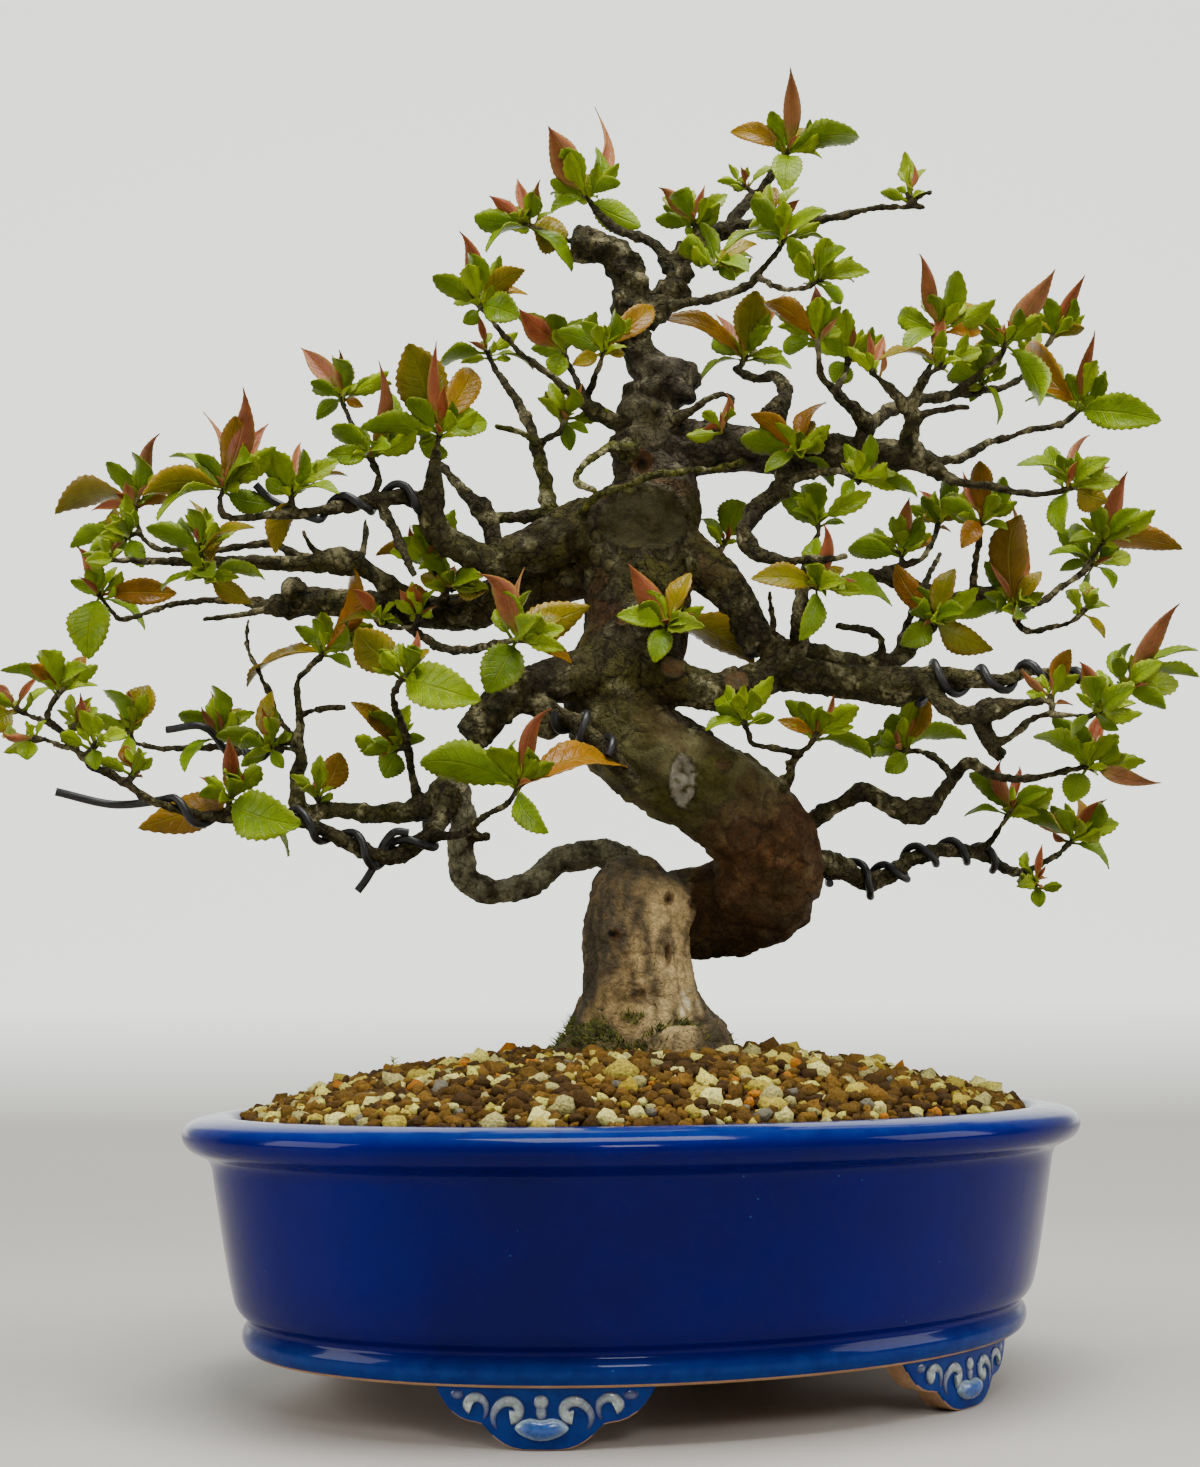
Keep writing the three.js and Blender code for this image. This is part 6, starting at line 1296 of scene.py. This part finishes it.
def make_wires(shaped, material):
    """Each wire wound on its limb, from share to share of the limb's length, with its free end."""
    for name, plan in WIRES.items():
        run = shaped[plan["limb"]]
        frames = carried_frames(run)
        points = []
        steps = plan["turns"] * COIL_STEPS
        for i in range(steps + 1):
            at = (plan["from"] + (plan["to"] - plan["from"]) * i / steps) * (len(run) - 1)
            k = min(int(at), len(run) - 2)
            place = run[k][0].lerp(run[k + 1][0], at - k)
            reach = blend(run[k][1], run[k + 1][1], at - k) * 0.98 + WIRE_RADIUS
            normal, binormal = frames[k]
            angle = i / COIL_STEPS * 2 * math.pi
            points.append(place + (normal * math.cos(angle) + binormal * math.sin(angle)) * reach)
        points += [sight(u, v, depth) for u, v, depth in plan["end"]]
        coils = [smooth_run(points, [WIRE_RADIUS] * len(points), COIL_SPACING)]
        if name in HOOKS:
            line = HOOKS[name]
            place, radius = nearest_seat(run, *line[0])
            hook = [sight(u, v, place.y - radius - WIRE_RADIUS) for u, v in line]
            coils.append(smooth_run(hook, [WIRE_RADIUS] * len(hook), COIL_SPACING))
        piece(name + "_coil", tubes(name, coils), [material], [name])


# Soil: a rough bed, and loose grains of baked clay and pumice laid over it
CLAY_TONES = ((0.08, 0.039, 0.005), (0.11, 0.058, 0.007), (0.045, 0.022, 0.004), (0.15, 0.075, 0.009))
PUMICE_TONES = ((0.52, 0.46, 0.09), (0.62, 0.56, 0.17), (0.4, 0.31, 0.04), (0.34, 0.3, 0.1))
ODD_TONES = ((0.33, 0.12, 0.008), (0.28, 0.2, 0.015), (0.14, 0.125, 0.085))
SOIL_STEPS = 96
TRUNK_CLEAR = 34
GRAIN_SEED = 41
GRAIN_CELL = 11
# The sizes of grain, coarse to fine: (least radius, greatest radius, number tried)
GRAIN_SIZES = ((3.2, 4.3, 110), (2.2, 3.1, 1000), (1.6, 2.3, 7000), (1.1, 1.6, 12000))
GRAINS_A_BED = 250


def on_oval(share, angle, height):
    """A place over the soil, at a share of the way out to its edge and an angle in plan."""
    length, depth = (POT_HALF_LENGTH + SOIL_REACH) * share, (POT_HALF_DEPTH + SOIL_REACH) * share
    flat = Vector((length * math.cos(angle), depth * math.sin(angle), height))
    return Matrix.Rotation(POT_TURN, 3, "Z") @ flat


def soil_height(share):
    """The height of the mound at a share of the way out to its edge."""
    return SOIL_EDGE + SOIL_RISE * (1 - share ** 2.2)


def spread_grains():
    """Loose grains that don't crowd each other: (place, size, kind) from coarse to fine."""
    rng = random.Random(GRAIN_SEED)
    cells = {}
    grains = []
    for low, high, tries in GRAIN_SIZES:
        for _ in range(tries):
            share = 0.985 * math.sqrt(rng.uniform(0.035, 1))
            angle = rng.uniform(0, 2 * math.pi)
            size = rng.uniform(low, high)
            share = min(share, 0.99 - 0.5 * size / POT_HALF_DEPTH)
            place = on_oval(share, angle, soil_height(share))
            place.z += 1.1 * noise.noise(place * 0.05) + rng.uniform(-0.3, 0.25) * size
            kind = rng.random()
            if math.hypot(place.x - 1.5, place.y) < TRUNK_CLEAR:
                continue
            key = (math.floor(place.x / GRAIN_CELL), math.floor(place.y / GRAIN_CELL))
            near = [grain for i in (-1, 0, 1) for j in (-1, 0, 1)
                    for grain in cells.get((key[0] + i, key[1] + j), ())]
            if all((place - other).length > 0.8 * (size + reach) for other, reach in near):
                cells.setdefault(key, []).append((place, size))
                grains.append((place, size, kind))
    return grains


def add_grain(bed, place, size, tone, seed, coarse):
    """One lump: a coarse ball, squared a little and knocked out of true."""
    around, down = (7, 5) if coarse else (6, 4)
    made = bmesh.ops.create_uvsphere(bed, u_segments=around, v_segments=down, radius=1)["verts"]
    tone_layer = bed.verts.layers.float_color["tone"]
    axis = Vector((draw(seed + 1) - 0.5, draw(seed + 2) - 0.5, 0.4))
    turn = Matrix.Rotation(6.28 * draw(seed), 3, axis)
    stretch = Vector((1 + 0.35 * draw(seed + 3), 0.85 + 0.25 * draw(seed + 4),
                      0.75 + 0.25 * draw(seed + 5)))
    light = 0.85 + 0.3 * draw(seed + 6)
    for vertex in made:
        squared = 1 + 0.18 * abs(vertex.co.x * vertex.co.y * vertex.co.z) * 5
        way = vertex.co * squared
        bump = 1 + 0.55 * noise.noise(way * 1.9 + Vector((seed * 3.1, 0, 0)))
        lump = Vector(a * b for a, b in zip(way * (bump * size), stretch))
        vertex.co = place + turn @ lump
        vertex[tone_layer] = (*(light * value for value in tone), 1)


def joined_beds(beds, name):
    """One mesh of many small ones, which are quicker to add lumps to than one large one."""
    whole = bmesh.new()
    for bed in beds:
        part = mesh_of(bed, "part")
        whole.from_mesh(part)
        bpy.data.meshes.remove(part)
    return mesh_of(whole, name)


def make_soil(bed_material, clay, pumice):
    """The rough bed, and the clay and pumice grains as a piece each."""
    profile = [(0, 88), (100, 88), (103.5, 92), (105, SOIL_EDGE - 1.5)]
    profile += [(107 * share, soil_height(share) - 1.6) for share in (0.05 * (19 - i) for i in range(20))]
    mesh = turned("soil_bed", profile, SOIL_STEPS)
    for vertex in mesh.vertices:
        if vertex.co.z > SOIL_EDGE - 2:
            vertex.co.z += 1.1 * noise.noise(vertex.co * 0.05) + 0.9 * noise.noise(vertex.co * 0.35)
    paint(mesh, lambda place: mixed(CLAY_TONES[2], CLAY_TONES[0], 0.5 + noise.noise(place * 0.3)))
    piece("soil_bed", mesh, [bed_material], ["soil"])
    beds = {"clay_grains": [], "pumice_grains": []}
    counts = {"clay_grains": 0, "pumice_grains": 0}
    for i, (place, size, kind) in enumerate(spread_grains()):
        is_pumice = kind < (0.55 if size > 3.2 else 0.27 if size > 2.2 else 0.11)
        name = "pumice_grains" if is_pumice else "clay_grains"
        if counts[name] % GRAINS_A_BED == 0:
            bed = bmesh.new()
            bed.verts.layers.float_color.new("tone")
            beds[name].append(bed)
        tones = PUMICE_TONES if is_pumice else ODD_TONES if kind > 0.95 else CLAY_TONES
        tone = tones[int(draw(i + 0.4) * len(tones))]
        add_grain(beds[name][-1], place, size, tone, i + 1, size > 2)
        counts[name] += 1
    for name, material in (("clay_grains", clay), ("pumice_grains", pumice)):
        piece(name, joined_beds(beds[name], name), [material], ["soil"])


MOSS_SEED = 7
MOSS_SPIKES = 6500
SPIKES_A_BED = 400
MOSS_DARK = (0.02, 0.026, 0.002)
MOSS_LIGHT = (0.16, 0.17, 0.008)
SEEDLING_STEM = (0.2, 0.12, 0.06)
SEEDLING_LEAF = (0.3, 0.3, 0.12)


def add_spike(bed, foot, way, width, tone):
    """A three-sided spike from foot to foot + way, in one colour."""
    tall = way.length
    turn = way.to_track_quat("Z", "Y").to_matrix().to_4x4()
    place = Matrix.Translation(foot + way / 2) @ turn
    made = bmesh.ops.create_cone(bed, cap_ends=True, segments=3, radius1=width, radius2=0.03, depth=tall,
                                 matrix=place)["verts"]
    tone_layer = bed.verts.layers.float_color["tone"]
    for vertex in made:
        vertex[tone_layer] = (*tone, 1)


def make_moss(material):
    """Low moss round the foot of the trunk, thickest at the front left, and one seedling."""
    rng = random.Random(MOSS_SEED)
    beds = []
    for i in range(MOSS_SPIKES):
        if i % SPIKES_A_BED == 0:
            beds.append(bmesh.new())
            beds[-1].verts.layers.float_color.new("tone")
        angle = rng.uniform(0, 2 * math.pi)
        thick = 0.5 + 0.5 * math.cos(angle + 2.1)
        height = rng.uniform(111, 120 + 13 * thick)
        reach = 21.5 + 13.5 * (1 - step(108, 140, height)) + rng.uniform(0, 0.8)
        if height < 116:
            reach += rng.uniform(0, 5)
        place = Vector((0.5 + reach * math.cos(angle), reach * math.sin(angle), height))
        patch = noise.noise(place * 0.13 + Vector((7, 1, 3)))
        if patch + 0.75 * thick - 0.035 * (height - 113) < 0.14:
            continue
        out = Vector((math.cos(angle), math.sin(angle), 0.7))
        way = (out + Vector(rng.uniform(-1, 1) for _ in range(3))) * rng.uniform(0.9, 2.4)
        tone = mixed(MOSS_DARK, MOSS_LIGHT, rng.random() ** 1.5)
        add_spike(beds[-1], place, way, rng.uniform(0.3, 0.55), tone)
    foot = sight(-91.6, 108, 0)
    add_spike(beds[-1], foot, Vector((0.4, 0, 9)), 0.35, SEEDLING_STEM)
    for k in range(5):
        top = foot + Vector((0.35, 0, 6.5 + 0.5 * k))
        leaf = Vector((math.cos(k * 2.2), math.sin(k * 2.2), 0.5)) * 2.4
        add_spike(beds[-1], top, leaf, 0.4, SEEDLING_LEAF)
    piece("moss", joined_beds(beds, "moss"), [material], ["soil"], shade=False)


# Finishes: colours are linear, lengths in a material are metres
def new_finish(name):
    """A new material, its node tree and its shader."""
    material = bpy.data.materials.new(name)
    material.use_nodes = True
    tree = material.node_tree
    shader = tree.nodes["Principled BSDF"]
    return material, tree, shader


def node(tree, kind, **settings):
    """A new node of the given kind, with its settings."""
    made = tree.nodes.new(kind)
    for key, value in settings.items():
        setattr(made, key, value)
    return made


def object_place(tree):
    """The place on the piece, in metres."""
    return node(tree, "ShaderNodeTexCoord").outputs["Object"]


def noise_at(tree, place, scale, detail=4, roughness=0.55):
    """A cloudy noise over the place, from 0 to 1."""
    texture = node(tree, "ShaderNodeTexNoise")
    texture.inputs["Scale"].default_value = scale
    texture.inputs["Detail"].default_value = detail
    texture.inputs["Roughness"].default_value = roughness
    tree.links.new(place, texture.inputs["Vector"])
    return texture.outputs["Fac"]


def cells_at(tree, place, scale, feature="F1"):
    """The distance to the middle of the nearest cell, or to its edge."""
    texture = node(tree, "ShaderNodeTexVoronoi", feature=feature)
    texture.inputs["Scale"].default_value = scale
    tree.links.new(place, texture.inputs["Vector"])
    return texture.outputs["Distance"]


def warped(tree, place, scale, amount):
    """The place, shaken by a noise of the given scale."""
    texture = node(tree, "ShaderNodeTexNoise")
    texture.inputs["Scale"].default_value = scale
    tree.links.new(place, texture.inputs["Vector"])
    shake = node(tree, "ShaderNodeVectorMath", operation="SCALE")
    tree.links.new(texture.outputs["Color"], shake.inputs[0])
    shake.inputs["Scale"].default_value = amount
    moved = node(tree, "ShaderNodeVectorMath", operation="ADD")
    tree.links.new(place, moved.inputs[0])
    tree.links.new(shake.outputs[0], moved.inputs[1])
    return moved.outputs[0]


def ramp(tree, value, *stops):
    """A colour ramp with (position, colour or grey) stops."""
    made = node(tree, "ShaderNodeValToRGB")
    while len(made.color_ramp.elements) < len(stops):
        made.color_ramp.elements.new(0.5)
    for element, (position, colour) in zip(made.color_ramp.elements, stops):
        element.position = position
        element.color = (*colour, 1) if isinstance(colour, tuple) else (colour, colour, colour, 1)
    tree.links.new(value, made.inputs["Fac"])
    return made.outputs["Color"]


def spread(tree, value, low, high, to_low, to_high):
    """The value, stretched from low and high to two others and held between them."""
    made = node(tree, "ShaderNodeMapRange")
    for key, number in (("From Min", low), ("From Max", high), ("To Min", to_low), ("To Max", to_high)):
        made.inputs[key].default_value = number
    tree.links.new(value, made.inputs["Value"])
    return made.outputs["Result"]


def sums(tree, operation, first, second=0):
    """A sum of two numbers or sockets."""
    made = node(tree, "ShaderNodeMath", operation=operation)
    for socket, value in zip(made.inputs, (first, second)):
        if isinstance(value, (int, float)):
            socket.default_value = value
        else:
            tree.links.new(value, socket)
    return made.outputs["Value"]


def tinted(tree, base, other, share, blend_type="MIX"):
    """The base colour with a share of the other mixed in or multiplied over it."""
    made = node(tree, "ShaderNodeMix", data_type="RGBA", blend_type=blend_type)
    for key, value in ((0, share), (6, base), (7, other)):
        if isinstance(value, (int, float)):
            made.inputs[key].default_value = value
        elif isinstance(value, tuple):
            made.inputs[key].default_value = (*value, 1)
        else:
            tree.links.new(value, made.inputs[key])
    return made.outputs[2]


def relief(tree, shader, height, distance, strength):
    """Fine relief in the shader's normal, to a height in metres."""
    bump = node(tree, "ShaderNodeBump")
    bump.inputs["Strength"].default_value = strength
    bump.inputs["Distance"].default_value = distance
    tree.links.new(height, bump.inputs["Height"])
    tree.links.new(bump.outputs["Normal"], shader.inputs["Normal"])


def tone_of(tree):
    """The colour that paint gave each vertex."""
    return node(tree, "ShaderNodeAttribute", attribute_name="tone")


CRACK_DARK = (0.005, 0.0035, 0.002)
LICHEN_FLECK = (0.26, 0.22, 0.1)
VEIN_GREEN = (0.25, 0.25, 0.01)
PIT_BROWN = (0.07, 0.04, 0.01)
GLAZE_DEEP = (0, 0.0001, 0.06)
GLAZE_CLEAR = (0, 0.0002, 0.11)
GLAZE_THIN = (0.005, 0.04, 0.2)
GLAZE_SPECK = (0.05, 0.16, 0.4)
RAW_CLAY_DARK = (0.34, 0.17, 0.07)
RAW_CLAY_LIGHT = (0.5, 0.3, 0.15)
WIRE_BLACK = (0.004, 0.004, 0.004)
WIRE_DUST = (0.02, 0.018, 0.015)
FLOOR_GREY = (0.43, 0.4, 0.365, 1)
WALL_LIGHT = (0.95, 1, 0.94, 1)


def bark_finish():
    """Painted bark, with grain, furrows and cracks as strong as the paint's fourth value says."""
    material, tree, shader = new_finish("quince_bark")
    place = object_place(tree)
    grain = noise_at(tree, place, 900, 6, 0.7)
    edge = cells_at(tree, warped(tree, place, 240, 0.006), 210, "DISTANCE_TO_EDGE")
    flecks = noise_at(tree, place, 260, 5, 0.6)
    furrow = noise_at(tree, place, 330, 5, 0.7)
    broken = spread(tree, flecks, 0.4, 0.55, 0.25, 1)
    crack = sums(tree, "MULTIPLY", spread(tree, edge, 0.0, 0.1, 1, 0), broken)
    painted = tone_of(tree)
    rough = painted.outputs["Alpha"]
    crack = sums(tree, "MULTIPLY", crack, rough)
    tone = painted.outputs["Color"]
    tone = tinted(tree, tone, ramp(tree, grain, (0.3, 0.3), (0.7, 1.7)),
                  spread(tree, rough, 0, 1, 0.35, 0.85), "MULTIPLY")
    tone = tinted(tree, tone, ramp(tree, furrow, (0.32, 0.35), (0.62, 1.6)),
                  spread(tree, rough, 0, 1, 0.2, 0.8), "MULTIPLY")
    tone = tinted(tree, tone, CRACK_DARK, sums(tree, "MULTIPLY", crack, 0.65))
    tone = tinted(tree, tone, LICHEN_FLECK, spread(tree, flecks, 0.66, 0.76, 0, 0.22))
    tree.links.new(tone, shader.inputs["Base Color"])
    tree.links.new(spread(tree, flecks, 0.3, 0.7, 0.55, 0.85), shader.inputs["Roughness"])
    shader.inputs["Specular IOR Level"].default_value = 0.12
    deep = sums(tree, "MULTIPLY", furrow, spread(tree, rough, 0, 1, 0.6, 2.2))
    height = sums(tree, "SUBTRACT", sums(tree, "ADD", grain, deep), crack)
    relief(tree, shader, height, 0.0014, 1)
    return material


def leaf_finish():
    """Painted leaf, with a midrib and veins drawn on its own UV map and gloss from its paint."""
    material, tree, shader = new_finish("quince_leaf")
    tone = tone_of(tree)
    laid = node(tree, "ShaderNodeUVMap").outputs["UV"]
    parts = node(tree, "ShaderNodeSeparateXYZ")
    tree.links.new(laid, parts.inputs[0])
    off = sums(tree, "ABSOLUTE", sums(tree, "SUBTRACT", parts.outputs[1], 0.5))
    run = sums(tree, "SUBTRACT", sums(tree, "MULTIPLY", parts.outputs[0], 9),
               sums(tree, "MULTIPLY", off, 3.4))
    beat = sums(tree, "PINGPONG", run, 0.5)
    vein = spread(tree, beat, 0.0, 0.09, 1, 0)
    midrib = spread(tree, off, 0.012, 0.04, 1, 0)
    veins = sums(tree, "MAXIMUM", sums(tree, "MULTIPLY", vein, 0.5), midrib)
    place = object_place(tree)
    wrinkle = noise_at(tree, place, 900, 3, 0.5)
    mottle = noise_at(tree, place, 220, 3, 0.5)
    clouds = ramp(tree, mottle, (0.3, 0.72), (0.7, 1.25))
    colour = tinted(tree, tone.outputs["Color"], clouds, 0.7, "MULTIPLY")
    colour = tinted(tree, colour, VEIN_GREEN, sums(tree, "MULTIPLY", veins, 0.24))
    tree.links.new(colour, shader.inputs["Base Color"])
    tree.links.new(spread(tree, tone.outputs["Alpha"], 0, 1, 0.5, 0.18), shader.inputs["Roughness"])
    shader.inputs["Subsurface Weight"].default_value = 0.08
    shader.inputs["Subsurface Radius"].default_value = (0.5, 0.7, 0.1)
    shader.inputs["Subsurface Scale"].default_value = 0.002
    shader.inputs["Specular IOR Level"].default_value = 0.15
    height = sums(tree, "SUBTRACT", sums(tree, "MULTIPLY", wrinkle, 0.7),
                  sums(tree, "MULTIPLY", veins, 0.8))
    relief(tree, shader, height, 0.0007, 0.7)
    return material


def grain_finish(name, roughness, pit_scale, pit_depth):
    """Dry baked grain, with crumbs and dark pits."""
    material, tree, shader = new_finish(name)
    place = object_place(tree)
    crumbs = noise_at(tree, place, 1100, 5, 0.7)
    pits = cells_at(tree, place, pit_scale)
    tone = tone_of(tree).outputs["Color"]
    tone = tinted(tree, tone, ramp(tree, crumbs, (0.32, 0.4), (0.68, 1.5)), 0.85, "MULTIPLY")
    tone = tinted(tree, tone, PIT_BROWN, spread(tree, pits, 0.05, 0.3, pit_depth, 0))
    tree.links.new(tone, shader.inputs["Base Color"])
    shader.inputs["Specular IOR Level"].default_value = 0.15
    shader.inputs["Roughness"].default_value = roughness
    height = sums(tree, "ADD", crumbs, sums(tree, "MULTIPLY", pits, 0.9))
    relief(tree, shader, height, 0.0008, 0.8)
    return material


def moss_finish():
    """Dull speckled moss."""
    material, tree, shader = new_finish("moss")
    place = object_place(tree)
    speckle = noise_at(tree, place, 800, 3, 0.6)
    specks = ramp(tree, speckle, (0.3, 0.6), (0.7, 1.4))
    tone = tinted(tree, tone_of(tree).outputs["Color"], specks, 0.8, "MULTIPLY")
    tree.links.new(tone, shader.inputs["Base Color"])
    shader.inputs["Roughness"].default_value = 0.8
    return material


def glaze_finish():
    """Deep blue glaze, thin and paler at the lip and the foot band, with a few pale specks."""
    material, tree, shader = new_finish("cobalt_glaze")
    place = object_place(tree)
    parts = node(tree, "ShaderNodeSeparateXYZ")
    tree.links.new(place, parts.inputs[0])
    height = parts.outputs[2]
    cloud = noise_at(tree, place, 14, 4, 0.55)
    mottle = noise_at(tree, place, 160, 5, 0.6)
    deep = ramp(tree, cloud, (0.3, GLAZE_DEEP), (0.7, GLAZE_CLEAR))
    thin = sums(tree, "ADD", spread(tree, height, 0.093, 0.0975, 0, 0.6),
                spread(tree, height, 0.0285, 0.023, 0, 0.75))
    thin = sums(tree, "MULTIPLY", thin, spread(tree, mottle, 0.3, 0.7, 0.4, 1))
    colour = tinted(tree, deep, GLAZE_THIN, thin)
    pits = cells_at(tree, place, 210)
    chance = noise_at(tree, place, 55, 2, 0.5)
    speck = sums(tree, "MULTIPLY", spread(tree, pits, 0.05, 0.1, 1, 0),
                 spread(tree, chance, 0.58, 0.64, 0, 1))
    colour = tinted(tree, colour, GLAZE_SPECK, sums(tree, "MULTIPLY", speck, 0.4))
    tree.links.new(colour, shader.inputs["Base Color"])
    tree.links.new(spread(tree, mottle, 0.3, 0.7, 0.12, 0.2), shader.inputs["Roughness"])
    shader.inputs["Specular IOR Level"].default_value = 0.05
    shader.inputs["Coat Weight"].default_value = 0.12
    shader.inputs["Coat Roughness"].default_value = 0.04
    wave = noise_at(tree, place, 30, 2, 0.4)
    lift = sums(tree, "SUBTRACT", wave, sums(tree, "MULTIPLY", speck, 0.4))
    relief(tree, shader, lift, 0.0012, 0.22)
    return material


def slip_finish():
    """Pale slip that shows through the glaze where it ran thin over the relief."""
    material, tree, shader = new_finish("pale_slip")
    place = object_place(tree)
    pool = noise_at(tree, place, 700, 4, 0.6)
    pooled = ramp(tree, pool, (0.3, 0.45), (0.7, 1.35))
    colour = tinted(tree, tone_of(tree).outputs["Color"], pooled, 0.8, "MULTIPLY")
    tree.links.new(colour, shader.inputs["Base Color"])
    shader.inputs["Roughness"].default_value = 0.16
    shader.inputs["Specular IOR Level"].default_value = 0.35
    shader.inputs["Coat Weight"].default_value = 0.3
    shader.inputs["Coat Roughness"].default_value = 0.06
    relief(tree, shader, pool, 0.0003, 0.4)
    return material


def clay_finish():
    """Unglazed stoneware under the pot."""
    material, tree, shader = new_finish("bare_stoneware")
    place = object_place(tree)
    sand = noise_at(tree, place, 1500, 4, 0.7)
    broad = noise_at(tree, place, 60, 3, 0.5)
    colour = ramp(tree, broad, (0.3, RAW_CLAY_DARK), (0.7, RAW_CLAY_LIGHT))
    colour = tinted(tree, colour, ramp(tree, sand, (0.3, 0.6), (0.7, 1.3)), 0.7, "MULTIPLY")
    tree.links.new(colour, shader.inputs["Base Color"])
    shader.inputs["Roughness"].default_value = 0.82
    relief(tree, shader, sand, 0.0004, 0.6)
    return material


def wire_finish():
    """Dull black aluminium with a little dust."""
    material, tree, shader = new_finish("black_anodised_wire")
    place = object_place(tree)
    dust = noise_at(tree, place, 500, 4, 0.6)
    tree.links.new(ramp(tree, dust, (0.3, WIRE_BLACK), (0.75, WIRE_DUST)), shader.inputs["Base Color"])
    tree.links.new(spread(tree, dust, 0.3, 0.7, 0.32, 0.5), shader.inputs["Roughness"])
    shader.inputs["Specular IOR Level"].default_value = 0.35
    relief(tree, shader, dust, 0.0002, 0.3)
    return material


def sweep_finish():
    """Pale floor that turns into a bright wall behind the object."""
    material, tree, shader = new_finish("studio_sweep")
    parts = node(tree, "ShaderNodeSeparateXYZ")
    tree.links.new(object_place(tree), parts.inputs[0])
    near = spread(tree, sums(tree, "ABSOLUTE", parts.outputs[0]), 1.1, 1.8, 1, 0)
    glow = sums(tree, "MULTIPLY", spread(tree, parts.outputs[2], 0.0, 0.14, 0, 1.6), near)
    flat = node(tree, "ShaderNodeVectorMath", operation="LENGTH")
    tree.links.new(object_place(tree), flat.inputs[0])
    glow = sums(tree, "MAXIMUM", glow, spread(tree, flat.outputs["Value"], 0.7, 2.6, 0, 0.42))
    shader.inputs["Base Color"].default_value = FLOOR_GREY
    shader.inputs["Roughness"].default_value = 0.6
    shader.inputs["Specular IOR Level"].default_value = 0.2
    shader.inputs["Emission Color"].default_value = WALL_LIGHT
    tree.links.new(glow, shader.inputs["Emission Strength"])
    return material


# The room: a sweep of floor and wall, soft lights and the eye, in metres
WORLD_COLOUR = (0.86, 0.9, 0.92, 1)
WORLD_STRENGTH = 0.28
SWEEP_HALF_WIDTH = 5
SWEEP_RADIUS = 1.2
# Each lamp's name, place, target, size and power
LAMPS = (
    ("overhead", (0.1, -0.3, 1.5), (0, 0, 0.25), 0.9, 42),
    ("left_window", (-1.5, -0.5, 0.6), (0, 0, 0.2), 0.8, 14),
    ("right_window", (1.4, -0.2, 0.6), (0, 0, 0.2), 0.7, 9),
    ("front_lamp", (0.35, -1.6, 0.95), (0, 0, 0.15), 0.35, 9),
)
SENSOR_WIDTH = 36
FOCAL_LENGTH = 51.5
EYE_PITCH = math.radians(97.4)
EYE_ROLL = math.radians(-0.45)


def make_room():
    """The floor that curves up into a wall, the lamps and the world."""
    bed = bmesh.new()
    outline = [(-6, 0), (SWEEP_RADIUS, 0)]
    for i in range(1, 19):
        angle = math.radians(5 * i)
        outline.append((SWEEP_RADIUS * (1 + math.sin(angle)), SWEEP_RADIUS * (1 - math.cos(angle))))
    outline.append((2 * SWEEP_RADIUS, 2.3))
    chain = [bed.verts.new((-SWEEP_HALF_WIDTH, y, z)) for y, z in outline]
    edges = [bed.edges.new(pair) for pair in zip(chain, chain[1:])]
    drawn = bmesh.ops.extrude_edge_only(bed, edges=edges)["geom"]
    moved = [item for item in drawn if isinstance(item, bmesh.types.BMVert)]
    bmesh.ops.translate(bed, verts=moved, vec=(2 * SWEEP_HALF_WIDTH, 0, 0))
    bmesh.ops.recalc_face_normals(bed, faces=bed.faces)
    mesh = mesh_of(bed, "sweep")
    mesh.polygons.foreach_set("use_smooth", [True] * len(mesh.polygons))
    mesh.materials.append(sweep_finish())
    sweep = bpy.data.objects.new("sweep", mesh)
    bpy.context.scene.collection.objects.link(sweep)
    world = bpy.data.worlds.new("studio")
    world.use_nodes = True
    world.node_tree.nodes["Background"].inputs["Color"].default_value = WORLD_COLOUR
    world.node_tree.nodes["Background"].inputs["Strength"].default_value = WORLD_STRENGTH
    bpy.context.scene.world = world
    for name, place, target, size, power in LAMPS:
        lamp = bpy.data.lights.new(name, "AREA")
        lamp.shape = "SQUARE"
        lamp.size = size
        lamp.energy = power
        holder = bpy.data.objects.new(name, lamp)
        holder.location = place
        aim = Vector(target) - Vector(place)
        holder.rotation_euler = aim.to_track_quat("-Z", "Y").to_euler()
        bpy.context.scene.collection.objects.link(holder)


def make_camera():
    """The camera, where the picture was taken from."""
    eye = bpy.data.cameras.new("eye")
    eye.sensor_width = SENSOR_WIDTH
    eye.lens = FOCAL_LENGTH
    camera = bpy.data.objects.new("eye", eye)
    camera.location = EYE * MM + SHIFT
    turn = Matrix.Rotation(EYE_PITCH, 4, "X") @ Matrix.Rotation(EYE_ROLL, 4, "Z")
    camera.rotation_euler = turn.to_euler()
    bpy.context.scene.collection.objects.link(camera)
    bpy.context.scene.camera = camera


make_camera()
make_room()
runs = make_runs()
twigs = make_shoots(runs, leaf_finish())
wood_runs = gnarled(runs)
make_wood(wood_runs, twigs, bark_finish())
make_wires(wood_runs, wire_finish())
make_pot(glaze_finish(), clay_finish(), slip_finish())
make_soil(grain_finish("soil_bed", 0.95, 300, 0.5), grain_finish("baked_clay", 0.92, 420, 0.35),
          grain_finish("pumice", 0.85, 700, 0.75))
make_moss(moss_finish())
